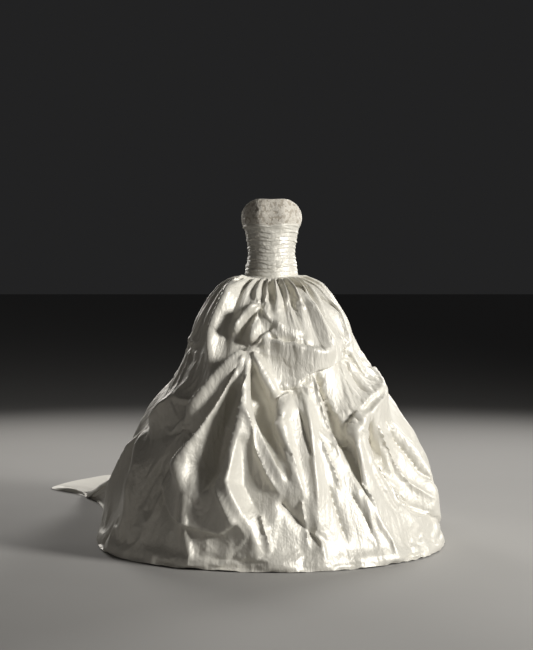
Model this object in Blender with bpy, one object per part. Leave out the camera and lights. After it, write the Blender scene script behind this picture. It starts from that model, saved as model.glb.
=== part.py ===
"""A strapless ball gown, filled out as it is worn: a beaded lace band round the bust, a ruched taffeta midriff
and a full taffeta skirt in nine gores, gathered at the waist, picked up in puffs and swept back into a train.

The origin is the middle of the natural waist, where the wearer holds the gown up. It faces -Y, with +X towards
the wearer's left and +Z up. Every piece of cloth is one thin wall on a smooth surface, and its seams stay open
by the gap that sewn edges have.
"""

import math
from collections import namedtuple

import bmesh
import bpy
import numpy as np
from mathutils import Vector

# Sizes in metres.
WAIST_ABOVE_FLOOR = 1.244
FLOOR = -WAIST_ABOVE_FLOOR
WALL = 0.0024
SEAM_GAP = 0.0005

# The bodice from the top edge down to the waist seam.
Section = namedtuple("Section", "z half_width front back bust")
BODICE = (
    Section(z=0.215, half_width=0.1165, front=0.104, back=0.085, bust=0.006),
    Section(z=0.190, half_width=0.1178, front=0.113, back=0.088, bust=0.011),
    Section(z=0.160, half_width=0.1218, front=0.120, back=0.092, bust=0.014),
    Section(z=0.136, half_width=0.1252, front=0.122, back=0.095, bust=0.013),
    Section(z=0.110, half_width=0.1208, front=0.117, back=0.094, bust=0.008),
    Section(z=0.085, half_width=0.1110, front=0.107, back=0.090, bust=0.003),
    Section(z=0.050, half_width=0.1040, front=0.098, back=0.086, bust=0.000),
    Section(z=0.000, half_width=0.0965, front=0.090, back=0.084, bust=0.000),
    Section(z=-0.035, half_width=0.0980, front=0.091, back=0.087, bust=0.000),
    Section(z=-0.075, half_width=0.1050, front=0.095, back=0.095, bust=0.000),
    Section(z=-0.120, half_width=0.1135, front=0.100, back=0.104, bust=0.000),
)
BUST_APART, BUST_WIDE = 27.0, 17.0  # degrees: each cup from the centre front, and its spread

# Heights of the three edges that run round the bodice, by angle from the centre front.
Edge = namedtuple("Edge", "angle top band waist")
EDGES = (
    Edge(angle=0, top=0.212, band=0.103, waist=-0.116),
    Edge(angle=12, top=0.213, band=0.108, waist=-0.114),
    Edge(angle=36, top=0.211, band=0.113, waist=-0.110),
    Edge(angle=60, top=0.191, band=0.111, waist=-0.107),
    Edge(angle=85, top=0.161, band=0.105, waist=-0.105),
    Edge(angle=120, top=0.152, band=0.098, waist=-0.105),
    Edge(angle=180, top=0.148, band=0.094, waist=-0.106),
)
BODICE_COLUMNS = 32
SIDE_SEAM = 90.0
BAND_ROWS = 5

# The midriff's pleats, as shares of its height from the band down, and how far each stands out.
Pleat = namedtuple("Pleat", "share out tilt")
PLEATS = (
    Pleat(share=0.030, out=0.0041, tilt=0.000),
    Pleat(share=0.095, out=0.0030, tilt=0.003),
    Pleat(share=0.165, out=0.0043, tilt=-0.003),
    Pleat(share=0.240, out=0.0035, tilt=0.002),
    Pleat(share=0.305, out=0.0046, tilt=0.004),
    Pleat(share=0.385, out=0.0032, tilt=-0.004),
    Pleat(share=0.450, out=0.0041, tilt=-0.002),
    Pleat(share=0.525, out=0.0049, tilt=0.003),
    Pleat(share=0.600, out=0.0030, tilt=0.004),
    Pleat(share=0.665, out=0.0043, tilt=-0.003),
    Pleat(share=0.745, out=0.0038, tilt=0.002),
    Pleat(share=0.815, out=0.0046, tilt=-0.004),
    Pleat(share=0.890, out=0.0032, tilt=0.002),
    Pleat(share=0.960, out=0.0041, tilt=0.000),
)
PLEAT_UNEVEN, PLEAT_WAVES, PLEAT_PHASE = 0.2, 3, 1.0  # how each pleat swells and thins round the body
PLACKET_FROM, PLACKET_TO = 150.0, 164.0  # degrees: the pleats run flat into the button stands

BUTTONS = 11
BUTTON_RADIUS, BUTTON_THICK = 0.0055, 0.0045
BUTTON_TOP, BUTTON_BOTTOM = 0.138, -0.090
BUTTON_FROM_EDGE = 0.0075
BUTTON_BASE = 0.25  # how far its flat base lies below its middle, as a share of its thickness

# The skirt before it is picked up: half its width, by the drop below the waist seam.
Hoop = namedtuple("Hoop", "drop half_width front back")
SKIRT = (
    Hoop(drop=0.000, half_width=0.112, front=0.88, back=0.91),
    Hoop(drop=0.012, half_width=0.152, front=0.88, back=0.92),
    Hoop(drop=0.030, half_width=0.196, front=0.88, back=0.93),
    Hoop(drop=0.070, half_width=0.243, front=0.89, back=0.94),
    Hoop(drop=0.120, half_width=0.280, front=0.90, back=0.96),
    Hoop(drop=0.180, half_width=0.314, front=0.90, back=0.98),
    Hoop(drop=0.250, half_width=0.338, front=0.90, back=1.00),
    Hoop(drop=0.340, half_width=0.378, front=0.90, back=1.00),
    Hoop(drop=0.450, half_width=0.442, front=0.90, back=1.00),
    Hoop(drop=0.560, half_width=0.500, front=0.90, back=1.00),
    Hoop(drop=0.680, half_width=0.556, front=0.90, back=1.00),
    Hoop(drop=0.800, half_width=0.616, front=0.90, back=1.00),
    Hoop(drop=0.920, half_width=0.666, front=0.90, back=1.00),
    Hoop(drop=1.030, half_width=0.710, front=0.90, back=1.00),
    Hoop(drop=1.138, half_width=0.735, front=0.90, back=1.00),
)

DROP_STEPS, DROPS_CLOSER = 400, 1.6  # steps that measure the cloth down the flare, closer at the waist

# Where the train's hem lies on the floor, going round the back from the right side to the left.
Hem = namedtuple("Hem", "angle x y")
TRAIN = (
    Hem(angle=-84, x=-0.733, y=-0.040),
    Hem(angle=-94, x=-0.745, y=0.110),
    Hem(angle=-102, x=-0.768, y=0.420),
    Hem(angle=-109, x=-0.800, y=0.790),
    Hem(angle=-115, x=-0.870, y=1.060),
    Hem(angle=-121, x=-0.990, y=1.280),
    Hem(angle=-127, x=-1.130, y=1.430),
    Hem(angle=-134, x=-1.100, y=1.610),
    Hem(angle=-143, x=-0.960, y=1.840),
    Hem(angle=-155, x=-0.680, y=2.060),
    Hem(angle=-168, x=-0.340, y=2.150),
    Hem(angle=-181, x=0.020, y=2.090),
    Hem(angle=-195, x=0.310, y=1.840),
    Hem(angle=-210, x=0.520, y=1.430),
    Hem(angle=-224, x=0.640, y=1.000),
    Hem(angle=-238, x=0.705, y=0.620),
    Hem(angle=-252, x=0.730, y=0.300),
    Hem(angle=-266, x=0.735, y=0.040),
)
TRAIN_SWEEP = 0.85  # how far before and after the floor line the train takes to lie flat
TRAIN_BORNE = 0.45  # how far its underskirts bear it up there, from hanging at 0 to straight at 1
TRAIN_BACK_FIRST = 0.8  # how far it runs straight back before it bends towards its hem
TRAIN_BEGINS = ((-88, -76), (-275, -262))  # degrees over which it grows out of the side, right and left
TRAIN_ROWS = 0.24  # share of rows given to each metre of train, against those above the floor

# Folds, as lines over the skirt: each point an angle and the length of cloth down from the waist seam.
Fold = namedtuple("Fold", "out width path")
FOLDS = (
    # Out of the main pick-up at the centre front.
    Fold(out=0.051, width=0.052, path=((-14, 0.42), (-28, 0.57), (-41, 0.78))),
    Fold(out=0.057, width=0.052, path=((-14, 0.43), (-22, 0.62), (-35, 0.92), (-30, 1.03))),
    Fold(out=0.072, width=0.048, path=((-13, 0.44), (-11, 0.65), (-15, 0.98), (-5, 1.22))),
    Fold(out=0.038, width=0.041, path=((-11, 0.42), (2, 0.62))),
    Fold(out=0.044, width=0.046, path=((-9, 0.63), (-1, 0.84), (6, 1.02))),
    Fold(out=-0.057, width=0.046, path=((-9, 0.52), (-3, 0.65), (7, 0.90))),
    # From the waist down the right front.
    Fold(out=0.040, width=0.039, path=((-44, 0.06), (-38, 0.18), (-42, 0.33), (-35, 0.53))),
    Fold(out=0.038, width=0.036, path=((-10, 0.20), (-19, 0.26), (-29, 0.36))),
    Fold(out=0.028, width=0.029, path=((-9, 0.28), (-13, 0.37))),
    Fold(out=0.030, width=0.032, path=((-10, 0.21), (0, 0.29), (22, 0.35))),
    # Over the pouch between the two front pick-ups, round the second one, and the swags to its left.
    Fold(out=0.032, width=0.034, path=((-3, 0.36), (12, 0.375), (30, 0.40), (42, 0.41))),
    Fold(out=0.038, width=0.039, path=((10, 0.61), (3, 0.70), (6, 0.86), (9, 1.02))),
    Fold(out=0.027, width=0.034, path=((17, 0.62), (16, 0.87), (15, 1.14))),
    Fold(out=-0.038, width=0.037, path=((29, 0.54), (33, 0.88), (36, 1.06))),
    Fold(out=0.057, width=0.044, path=((89, 0.53), (67, 0.63), (43, 0.74), (35, 0.84), (36, 1.06))),
    Fold(out=-0.044, width=0.046, path=((49, 0.71), (51, 0.94), (60, 1.20))),
    Fold(out=0.034, width=0.040, path=((30, 0.14), (38, 0.30), (44, 0.42))),
    Fold(out=0.030, width=0.040, path=((56, 0.16), (62, 0.30), (60, 0.44))),
    Fold(out=0.038, width=0.057, path=((70, 0.80), (74, 1.00), (72, 1.22))),
    # The right side, below its puff.
    Fold(out=0.044, width=0.052, path=((-74, 0.78), (-62, 0.96), (-58, 1.16))),
    Fold(out=0.040, width=0.052, path=((-78, 0.80), (-88, 1.00), (-96, 1.22))),
    Fold(out=-0.034, width=0.052, path=((-50, 0.86), (-48, 1.20))),
    Fold(out=0.038, width=0.046, path=((-56, 0.62), (-66, 0.74), (-74, 0.76))),
    # Across the back, down to the train.
    Fold(out=0.051, width=0.063, path=((112, 0.56), (120, 0.84), (124, 1.20))),
    Fold(out=0.044, width=0.063, path=((110, 0.60), (100, 0.84), (97, 1.15))),
    Fold(out=0.057, width=0.069, path=((152, 0.46), (142, 0.80), (140, 1.30), (142, 1.60))),
    Fold(out=0.061, width=0.069, path=((154, 0.46), (166, 0.84), (172, 1.40), (174, 2.00))),
    Fold(out=0.061, width=0.069, path=((-156, 0.50), (-164, 0.86), (-168, 1.50), (-170, 2.10))),
    Fold(out=0.055, width=0.069, path=((-154, 0.50), (-146, 0.86), (-142, 1.40), (-140, 2.10))),
    Fold(out=0.044, width=0.063, path=((-116, 0.58), (-124, 0.86), (-128, 1.40), (-130, 1.90))),
    Fold(out=0.040, width=0.063, path=((-114, 0.60), (-104, 0.86), (-106, 1.30))),
)

FOLD_SHARP = 2.2  # how quickly a fold falls away from its crest
FOLD_TAPERS, FOLD_END = 0.3, 0.35  # share of its length that each end tapers over, and its height there

# Places where the cloth is caught up to the skirt beneath.
PickUp = namedtuple("PickUp", "angle down deep reach")
PICK_UPS = (
    PickUp(angle=-13.5, down=0.405, deep=0.034, reach=0.052),
    PickUp(angle=11.5, down=0.590, deep=0.040, reach=0.050),
    PickUp(angle=-10.0, down=0.210, deep=0.022, reach=0.035),
    PickUp(angle=16.0, down=0.208, deep=0.020, reach=0.035),
    PickUp(angle=50.0, down=0.425, deep=0.034, reach=0.050),
    PickUp(angle=37.0, down=0.780, deep=0.020, reach=0.050),
    PickUp(angle=76.0, down=0.375, deep=0.022, reach=0.050),
    PickUp(angle=90.0, down=0.550, deep=0.026, reach=0.055),
    PickUp(angle=-41.0, down=0.790, deep=0.022, reach=0.050),
    PickUp(angle=-75.0, down=0.420, deep=0.026, reach=0.055),
    PickUp(angle=-76.0, down=0.770, deep=0.046, reach=0.065),
    PickUp(angle=111.0, down=0.540, deep=0.036, reach=0.060),
    PickUp(angle=153.0, down=0.430, deep=0.040, reach=0.060),
    PickUp(angle=-155.0, down=0.470, deep=0.040, reach=0.060),
    PickUp(angle=-115.0, down=0.560, deep=0.036, reach=0.060),
    PickUp(angle=-178.0, down=0.800, deep=0.034, reach=0.070),
)

# Puffs that swell and droop over the pick-ups.
Puff = namedtuple("Puff", "angle down across tall out droop")
PUFFS = (
    Puff(angle=27, down=0.400, across=0.120, tall=0.080, out=0.050, droop=0.036),
    Puff(angle=-25, down=1.060, across=0.150, tall=0.130, out=0.040, droop=0.020),
    Puff(angle=70, down=0.300, across=0.120, tall=0.060, out=0.012, droop=0.010),
    Puff(angle=84, down=0.455, across=0.140, tall=0.060, out=0.034, droop=0.018),
    Puff(angle=78, down=0.660, across=0.150, tall=0.075, out=0.022, droop=0.012),
    Puff(angle=88, down=0.860, across=0.190, tall=0.060, out=0.026, droop=0.016),
    Puff(angle=86, down=1.040, across=0.260, tall=0.140, out=0.026, droop=0.000),
    Puff(angle=-78, down=0.300, across=0.130, tall=0.080, out=0.010, droop=0.012),
    Puff(angle=-78, down=0.660, across=0.150, tall=0.080, out=0.018, droop=0.020),
    Puff(angle=-52, down=0.600, across=0.110, tall=0.090, out=0.014, droop=0.012),
    Puff(angle=128, down=0.440, across=0.160, tall=0.085, out=0.036, droop=0.024),
    Puff(angle=178, down=0.420, across=0.170, tall=0.090, out=0.040, droop=0.026),
    Puff(angle=-132, down=0.450, across=0.170, tall=0.085, out=0.036, droop=0.024),
    Puff(angle=160, down=0.720, across=0.200, tall=0.110, out=0.032, droop=0.024),
    Puff(angle=-150, down=0.760, across=0.200, tall=0.110, out=0.032, droop=0.024),
)

DROOP_BEGINS = (0.02, 0.20)  # how far down the cloth starts to droop, and does so fully

GATHERS = 28
GATHER_SIZES = (1.0, 0.7, 1.2, 0.85, 1.1, 0.6, 0.95)
GATHER_OUT, GATHER_STARTS, GATHER_FADES = 0.012, 0.02, 0.26
HEM_FLUTES = ((11, 0.011, 0.4), (17, 0.008, 1.9), (26, 0.005, 0.7))  # waves round, height, start
HEM_FLUTES_FROM = 0.95
COLUMNS_PER_GATHER = 4
FRONT_CLOSER = 0.20  # how much closer than even the columns stand at the front
SKIRT_ROWS, ROWS_CLOSER = 25, 1.25  # rows from waist to hem, and how much closer they lie at the waist
SEAM_ROWS = 0.04  # share of the rows that lie smooth into the waist seam
SOFTEN = 1  # passes that round the creases between neighbouring columns and rows

Gore = namedtuple("Gore", "name first_gather gathers")
GORES = (
    Gore("skirt_train_right", 0, 3),
    Gore("skirt_back_side_right", 3, 3),
    Gore("skirt_side_right", 6, 3),
    Gore("skirt_front_side_right", 9, 3),
    Gore("skirt_front", 12, 4),
    Gore("skirt_front_side_left", 16, 3),
    Gore("skirt_side_left", 19, 3),
    Gore("skirt_back_side_left", 22, 3),
    Gore("skirt_train_left", 25, 3),
)


def column(table, name):
    return np.array([getattr(row, name) for row in table], float)


def curve(at, places, values):
    """Smooth curve through the values, held at its ends."""
    order = np.argsort(places)
    places, values = places[order], values[order]
    slopes = np.gradient(values, places)
    at = np.clip(at, places[0], places[-1])
    i = np.clip(np.searchsorted(places, at) - 1, 0, len(places) - 2)
    step = places[i + 1] - places[i]
    t = (at - places[i]) / step
    start = (1 + 2 * t) * (1 - t) ** 2 * values[i] + t * (1 - t) ** 2 * step * slopes[i]
    end = t * t * (3 - 2 * t) * values[i + 1] + t * t * (t - 1) * step * slopes[i + 1]
    return start + end


def ease(x, low, high):
    t = np.clip((x - low) / (high - low), 0, 1)
    return t * t * (3 - 2 * t)


def unit(vectors):
    return vectors / np.maximum(np.linalg.norm(vectors, axis=-1, keepdims=True), 1e-12)


# The bodice's form.


def edge(name, angle):
    """Height of a bodice edge at an angle in degrees; both halves are alike."""
    return curve(np.abs(angle), column(EDGES, "angle"), column(EDGES, name))


def bodice_point(angle, z):
    """Point of the body surface at an angle in degrees from the centre front."""
    theta = np.radians(angle)
    size = {name: curve(z, column(BODICE, "z"), column(BODICE, name)) for name in Section._fields[1:]}
    cups = sum(np.exp(-(((angle - side * BUST_APART) / BUST_WIDE) ** 2)) for side in (-1, 1))
    depth = np.where(np.cos(theta) > 0, size["front"], size["back"]) + size["bust"] * cups
    return np.stack([size["half_width"] * np.sin(theta), -depth * np.cos(theta), z + 0 * theta], -1)


# The skirt's form.

DROPS = column(SKIRT, "drop")
FULL_DROP = DROPS[-1]
FINE_DROPS = np.linspace(0, 1, DROP_STEPS) ** DROPS_CLOSER * FULL_DROP
FINE_HALF_WIDTHS = curve(FINE_DROPS, DROPS, column(SKIRT, "half_width"))
DOWN_AT_DROP = np.concatenate([[0], np.cumsum(np.hypot(np.diff(FINE_DROPS), np.diff(FINE_HALF_WIDTHS)))])
TO_FLOOR = DOWN_AT_DROP[-1]  # length of cloth from the waist seam to the floor


def skirt_angle(gather):
    """Angle in degrees from the centre front, at a count of gathers round from the centre back."""
    even = 2 * math.pi * gather / GATHERS - math.pi
    return np.degrees(even - FRONT_CLOSER * np.sin(even))


def hoop_point(angle, down):
    """Point of the flared skirt, as an offset from the middle of the waist seam."""
    theta = np.radians(angle)
    drop = np.interp(down, DOWN_AT_DROP, FINE_DROPS)
    half_width = np.interp(down, DOWN_AT_DROP, FINE_HALF_WIDTHS)
    front = np.interp(drop, DROPS, column(SKIRT, "front"))
    back = np.interp(drop, DROPS, column(SKIRT, "back"))
    depth = back + (front - back) * ease(np.cos(theta), -1, 1)
    return np.stack([half_width * np.sin(theta), -half_width * depth * np.cos(theta), -drop], -1)


def cone_point(angle, down):
    """The flared skirt, hung from the waist seam and reaching the floor all round."""
    seam = edge("waist", angle)
    at_waist = bodice_point(angle, seam)
    flare = hoop_point(angle, down) - hoop_point(angle, 0 * down)
    hem_height = FLOOR + WALL / 2
    flare[..., 2] *= (seam - hem_height) / FULL_DROP
    return at_waist + flare


def train_reach(angle):
    """How far the train's hem lies beyond the flared skirt's, as a vector over the floor."""
    places = column(TRAIN, "angle")
    hem = cone_point(places, np.full(len(places), TO_FLOOR))
    (right, right_side), (left, left_whole) = TRAIN_BEGINS
    round_back = np.where(angle > left + 360, angle - 360, angle)
    x = curve(round_back, places, column(TRAIN, "x") - hem[:, 0])
    y = curve(round_back, places, column(TRAIN, "y") - hem[:, 1])
    inside = ease(round_back, left, left_whole) * (1 - ease(round_back, right, right_side))
    return np.stack([x * inside, y * inside], -1)


def smooth_skirt(angle, share):
    """The skirt with no folds, at a share of the way from waist to hem, and the length of cloth down to it."""
    trail = train_reach(angle)
    length = np.linalg.norm(trail, axis=-1)
    falls = 1 / (1 + TRAIN_ROWS * length)  # the share of the rows above the floor
    down = np.where(
        share < falls,
        share / falls * TO_FLOOR,
        TO_FLOOR + (share - falls) / np.maximum(1 - falls, 1e-6) * length,
    )
    sweep = np.minimum(TRAIN_SWEEP, length)
    rest = np.maximum(length - sweep, 0)
    straighter = 1 - TRAIN_BACK_FIRST * rest / np.maximum(length, 1e-6)
    along = np.stack([trail[..., 0] * straighter, trail[..., 1], 0 * length], -1)
    along = unit(along)
    leaves = cone_point(angle, TO_FLOOR - sweep)
    foot = cone_point(angle, np.full_like(down, TO_FLOOR))
    lands = foot + along * sweep[..., None]
    hem = foot + np.stack([trail[..., 0], trail[..., 1], 0 * length], -1)
    bend = lands + along * rest[..., None] / 2
    t = np.clip((down - TO_FLOOR + sweep) / np.maximum(2 * sweep, 1e-6), 0, 1)[..., None]
    v = np.clip((down - TO_FLOOR - sweep) / np.maximum(rest, 1e-6), 0, 1)[..., None]
    hangs = cone_point(angle, np.minimum(down, TO_FLOOR))
    bears = foot + ((leaves + lands) / 2 - foot) * TRAIN_BORNE
    swept = (1 - t) ** 2 * leaves + 2 * t * (1 - t) * bears + t**2 * lands
    lies = (1 - v) ** 2 * lands + 2 * v * (1 - v) * bend + v**2 * hem
    past = (down - TO_FLOOR)[..., None]
    return np.where(past < -sweep[..., None], hangs, np.where(past > sweep[..., None], lies, swept)), down


def near_line(path, angle, down, spread):
    """Distance over the cloth to a line of (angle, down) points, and the share of the line passed there."""
    nearest = np.full(angle.shape, np.inf)
    passed = np.zeros(angle.shape)
    for step, ((angle_a, down_a), (angle_b, down_b)) in enumerate(zip(path, path[1:])):
        across = np.radians(angle - angle_a) * spread
        step_across = math.radians(angle_b - angle_a) * spread
        step_down = down_b - down_a
        t = (across * step_across + (down - down_a) * step_down) / (step_across**2 + step_down**2)
        t = np.clip(t, 0, 1)
        away = np.hypot(across - t * step_across, down - down_a - t * step_down)
        passed = np.where(away < nearest, (step + t) / (len(path) - 1), passed)
        nearest = np.minimum(nearest, away)
    return nearest, passed


def turned(angle, centre):
    """Difference of two angles, the short way round."""
    return (angle - centre + 180) % 360 - 180


def relief(gather, angle, down, spread):
    """How far the cloth stands out from the smooth skirt, and how far it droops."""
    size = curve(gather % len(GATHER_SIZES), np.arange(8.0), np.array(GATHER_SIZES + GATHER_SIZES[:1]))
    gathered = np.exp(-((down / GATHER_FADES) ** 2)) - np.exp(-((down / GATHER_STARTS) ** 2))
    out = -GATHER_OUT * size * gathered * np.cos(2 * math.pi * gather)
    droop = np.zeros_like(out)
    for waves, height, start in HEM_FLUTES:
        grows = ease(down, HEM_FLUTES_FROM, TO_FLOOR)
        out += height * grows * np.sin(waves * np.radians(angle) + start)
    for puff in PUFFS:
        x = np.radians(turned(angle, puff.angle)) * spread / puff.across
        swell = np.exp(-(x**2) - ((down - puff.down) / puff.tall) ** 2)
        out += puff.out * swell
        droop += puff.droop * swell
    for fold in FOLDS:
        middle = fold.path[len(fold.path) // 2][0]
        near, passed = near_line(fold.path, middle + turned(angle, middle), down, spread)
        tapers = ease(passed, 0, FOLD_TAPERS) * (1 - ease(passed, 1 - FOLD_TAPERS, 1))
        tapers = FOLD_END + (1 - FOLD_END) * tapers
        out += fold.out * tapers * np.exp(1 - np.sqrt(1 + (FOLD_SHARP * near / fold.width) ** 2))
    for pick_up in PICK_UPS:
        x = np.radians(turned(angle, pick_up.angle)) * spread
        near = np.hypot(x, down - pick_up.down) / pick_up.reach
        out -= pick_up.deep * np.exp(-(near**2))
    return out, droop * ease(down, *DROOP_BEGINS)


def skirt_point(gather, share):
    """Point in the middle of the skirt's wall."""
    angle = skirt_angle(gather)
    point, down = smooth_skirt(angle, share)
    beside, _ = smooth_skirt(skirt_angle(gather + 0.01), share)
    below, _ = smooth_skirt(angle, share + 0.001)
    per_angle = np.radians(skirt_angle(gather + 0.01) - angle)
    spread = np.linalg.norm(beside - point, axis=-1) / per_angle
    outward = unit(np.cross(below - point, beside - point))
    out, droop = relief(gather, angle, down, spread)
    out *= ease(share, 0, SEAM_ROWS)
    point = point + outward * out[..., None]
    point[..., 2] -= droop
    point[..., 2] = np.maximum(point[..., 2], FLOOR + WALL / 2)
    return point


# Cloth walls.


def round_normals(points):
    """Outward normals of a grid whose columns run all the way round and whose rows run down."""
    across = np.roll(points, -1, axis=0) - np.roll(points, 1, axis=0)
    return unit(np.cross(np.gradient(points, axis=1), across))


def wall(name, outer, inner, material):
    """Closed wall between two grids of points, its side edges drawn in by half a seam gap."""
    columns, rows = outer.shape[:2]
    mesh = bmesh.new()
    skins = []
    for grid in (outer.copy(), inner.copy()):
        for side, beside in ((0, 1), (-1, -2)):
            apart = np.linalg.norm((outer + inner)[beside] - (outer + inner)[side], axis=-1) / 2
            grid[side] += (grid[beside] - grid[side]) * (SEAM_GAP / 2 / apart)[:, None]
        skins.append([[mesh.verts.new(grid[i, j]) for j in range(rows)] for i in range(columns)])
    front, rear = skins
    for i in range(columns - 1):
        for j in range(rows - 1):
            mesh.faces.new((front[i][j], front[i][j + 1], front[i + 1][j + 1], front[i + 1][j]))
            mesh.faces.new((rear[i][j], rear[i + 1][j], rear[i + 1][j + 1], rear[i][j + 1]))
    for i in range(columns - 1):
        mesh.faces.new((front[i][0], front[i + 1][0], rear[i + 1][0], rear[i][0]))
        mesh.faces.new((front[i + 1][-1], front[i][-1], rear[i][-1], rear[i + 1][-1]))
    for j in range(rows - 1):
        mesh.faces.new((front[0][j + 1], front[0][j], rear[0][j], rear[0][j + 1]))
        mesh.faces.new((front[-1][j], front[-1][j + 1], rear[-1][j + 1], rear[-1][j]))
    data = bpy.data.meshes.new(name)
    mesh.to_mesh(data)
    mesh.free()
    return place(name, data, material)


def place(name, data, material):
    data.materials.append(material)
    data.shade_smooth()
    data.set_sharp_from_angle(angle=math.radians(50))
    obj = bpy.data.objects.new(name, data)
    bpy.context.scene.collection.objects.link(obj)
    return obj


def cloth(name, colour, roughness, sheen):
    material = bpy.data.materials.new(name)
    material.use_nodes = True
    shader = material.node_tree.nodes["Principled BSDF"]
    shader.inputs["Base Color"].default_value = (*colour, 1)
    shader.inputs["Roughness"].default_value = roughness
    shader.inputs["Metallic"].default_value = 0
    shader.inputs["Sheen Weight"].default_value = sheen
    return material


# The pieces.

BODICE_PIECES = (("front", -SIDE_SEAM, SIDE_SEAM), ("back_left", SIDE_SEAM, 180), ("back_right", -180, -SIDE_SEAM))


def bodice_panel(name, angles, top, bottom, shares, raised, material):
    """Panel between two edges; raised says how far each outer point stands above the plain wall."""
    angle = np.repeat(angles[:, None], len(shares), 1)
    z = top[:, None] + (bottom - top)[:, None] * shares[None] + raised[..., 1]
    middle = bodice_point(angle, z)
    beside = bodice_point(angle + 0.1, z) - middle
    below = bodice_point(angle, z - 0.0001) - middle
    normal = np.cross(below, beside)
    normal[:, [0, -1], 2] = 0
    normal = unit(normal)
    outer = middle + normal * (WALL / 2 + raised[..., :1])
    wall(name, outer, middle - normal * WALL / 2, material)


def lace_band(material):
    shares = np.linspace(0, 1, BAND_ROWS)
    for piece, start, end in BODICE_PIECES:
        angles = np.linspace(start, end, 1 + round(BODICE_COLUMNS * (end - start) / 360))
        raised = np.zeros((len(angles), BAND_ROWS, 2))
        bottom = edge("band", angles) + SEAM_GAP / 2
        bodice_panel("lace_band_" + piece, angles, edge("top", angles), bottom, shares, raised, material)


def midriff(material):
    """Ridge and groove rows in turn, each pleat with its own height and slant."""
    ridges = column(PLEATS, "share")
    grooves = np.concatenate([[0], (ridges[1:] + ridges[:-1]) / 2, [1]])
    shares = np.sort(np.concatenate([ridges, grooves]))
    tilt = np.interp(shares, ridges, column(PLEATS, "tilt")) * np.sin(math.pi * shares)
    out = np.zeros(len(shares))
    out[1::2] = column(PLEATS, "out")
    for piece, start, end in BODICE_PIECES:
        angles = np.linspace(start, end, 1 + round(BODICE_COLUMNS * (end - start) / 360))
        folded = 1 - ease(np.abs(angles), PLACKET_FROM, PLACKET_TO)
        uneven = 1 - PLEAT_UNEVEN * (1 - np.sin(np.radians(angles) * PLEAT_WAVES + PLEAT_PHASE))
        raised = np.stack(
            [
                (folded * uneven)[:, None] * out[None],
                (folded * np.sin(np.radians(angles)))[:, None] * tilt[None],
            ],
            -1,
        )
        top = edge("band", angles) - SEAM_GAP / 2
        bottom = edge("waist", angles) + SEAM_GAP / 2
        bodice_panel("midriff_" + piece, angles, top, bottom, shares, raised, material)


def buttons(material):
    """Covered buttons down the left back's edge, each on the plain stand beside the opening."""
    for number, z in enumerate(np.linspace(BUTTON_TOP, BUTTON_BOTTOM, BUTTONS), 1):
        angle = np.array(180 - math.degrees(BUTTON_FROM_EDGE / BODICE[3].back))
        stand, beside, above = (bodice_point(angle + a, z + b) for a, b in ((0, 0), (1, 0), (0, BUTTON_THICK)))
        outward = Vector(np.cross(beside - stand, above - stand)).normalized()
        data = bpy.data.meshes.new(f"button_{number:02d}")
        mesh = bmesh.new()
        bmesh.ops.create_uvsphere(mesh, u_segments=10, v_segments=5, radius=BUTTON_RADIUS)
        for vertex in mesh.verts:
            vertex.co.z = max(vertex.co.z, -BUTTON_BASE * BUTTON_RADIUS) * BUTTON_THICK / BUTTON_RADIUS
        mesh.to_mesh(data)
        mesh.free()
        obj = place(data.name, data, material)
        obj.rotation_euler = outward.to_track_quat("Z", "Y").to_euler()
        obj.location = Vector(stand) + outward * (WALL / 2 + SEAM_GAP + BUTTON_BASE * BUTTON_THICK)


def skirt(material):
    gathers = np.arange(GATHERS * COLUMNS_PER_GATHER) / COLUMNS_PER_GATHER
    shares = np.linspace(0, 1, SKIRT_ROWS) ** ROWS_CLOSER
    gather, share = np.meshgrid(gathers, shares, indexing="ij")
    middle = skirt_point(gather, share)
    middle[:, 0, 2] -= SEAM_GAP / 2
    for _ in range(SOFTEN):
        beside = (np.roll(middle, 1, 0) + np.roll(middle, -1, 0)) / 2
        middle[:, 1:-1] += (beside[:, 1:-1] + middle[:, :-2] / 2 + middle[:, 2:] / 2 - 2 * middle[:, 1:-1]) / 4
    normal = round_normals(middle)
    round_waist = np.roll(middle[:, 0], -1, 0) - np.roll(middle[:, 0], 1, 0)
    normal[:, 0] = unit(np.cross(round_waist, (0, 0, 1)))
    lift = np.maximum(FLOOR + WALL / 2 * np.abs(normal[..., 2]) - middle[..., 2], 0)
    middle[..., 2] += lift
    for gore in GORES:
        first = gore.first_gather * COLUMNS_PER_GATHER
        picked = np.arange(first, first + gore.gathers * COLUMNS_PER_GATHER + 1) % len(gathers)
        half_wall = normal[picked] * WALL / 2
        wall(gore.name, middle[picked] + half_wall, middle[picked] - half_wall, material)


for old in list(bpy.data.objects):
    bpy.data.objects.remove(old)

lace_band(cloth("beaded_lace", (0.86, 0.83, 0.76), 0.55, 0.2))
taffeta = cloth("ivory_taffeta", (0.90, 0.87, 0.80), 0.38, 0.35)
midriff(taffeta)
buttons(cloth("covered_button", (0.88, 0.85, 0.78), 0.4, 0.2))
skirt(taffeta)
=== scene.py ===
import math
from collections import namedtuple

import bpy
import numpy as np
from mathutils import Matrix, Vector


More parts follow.
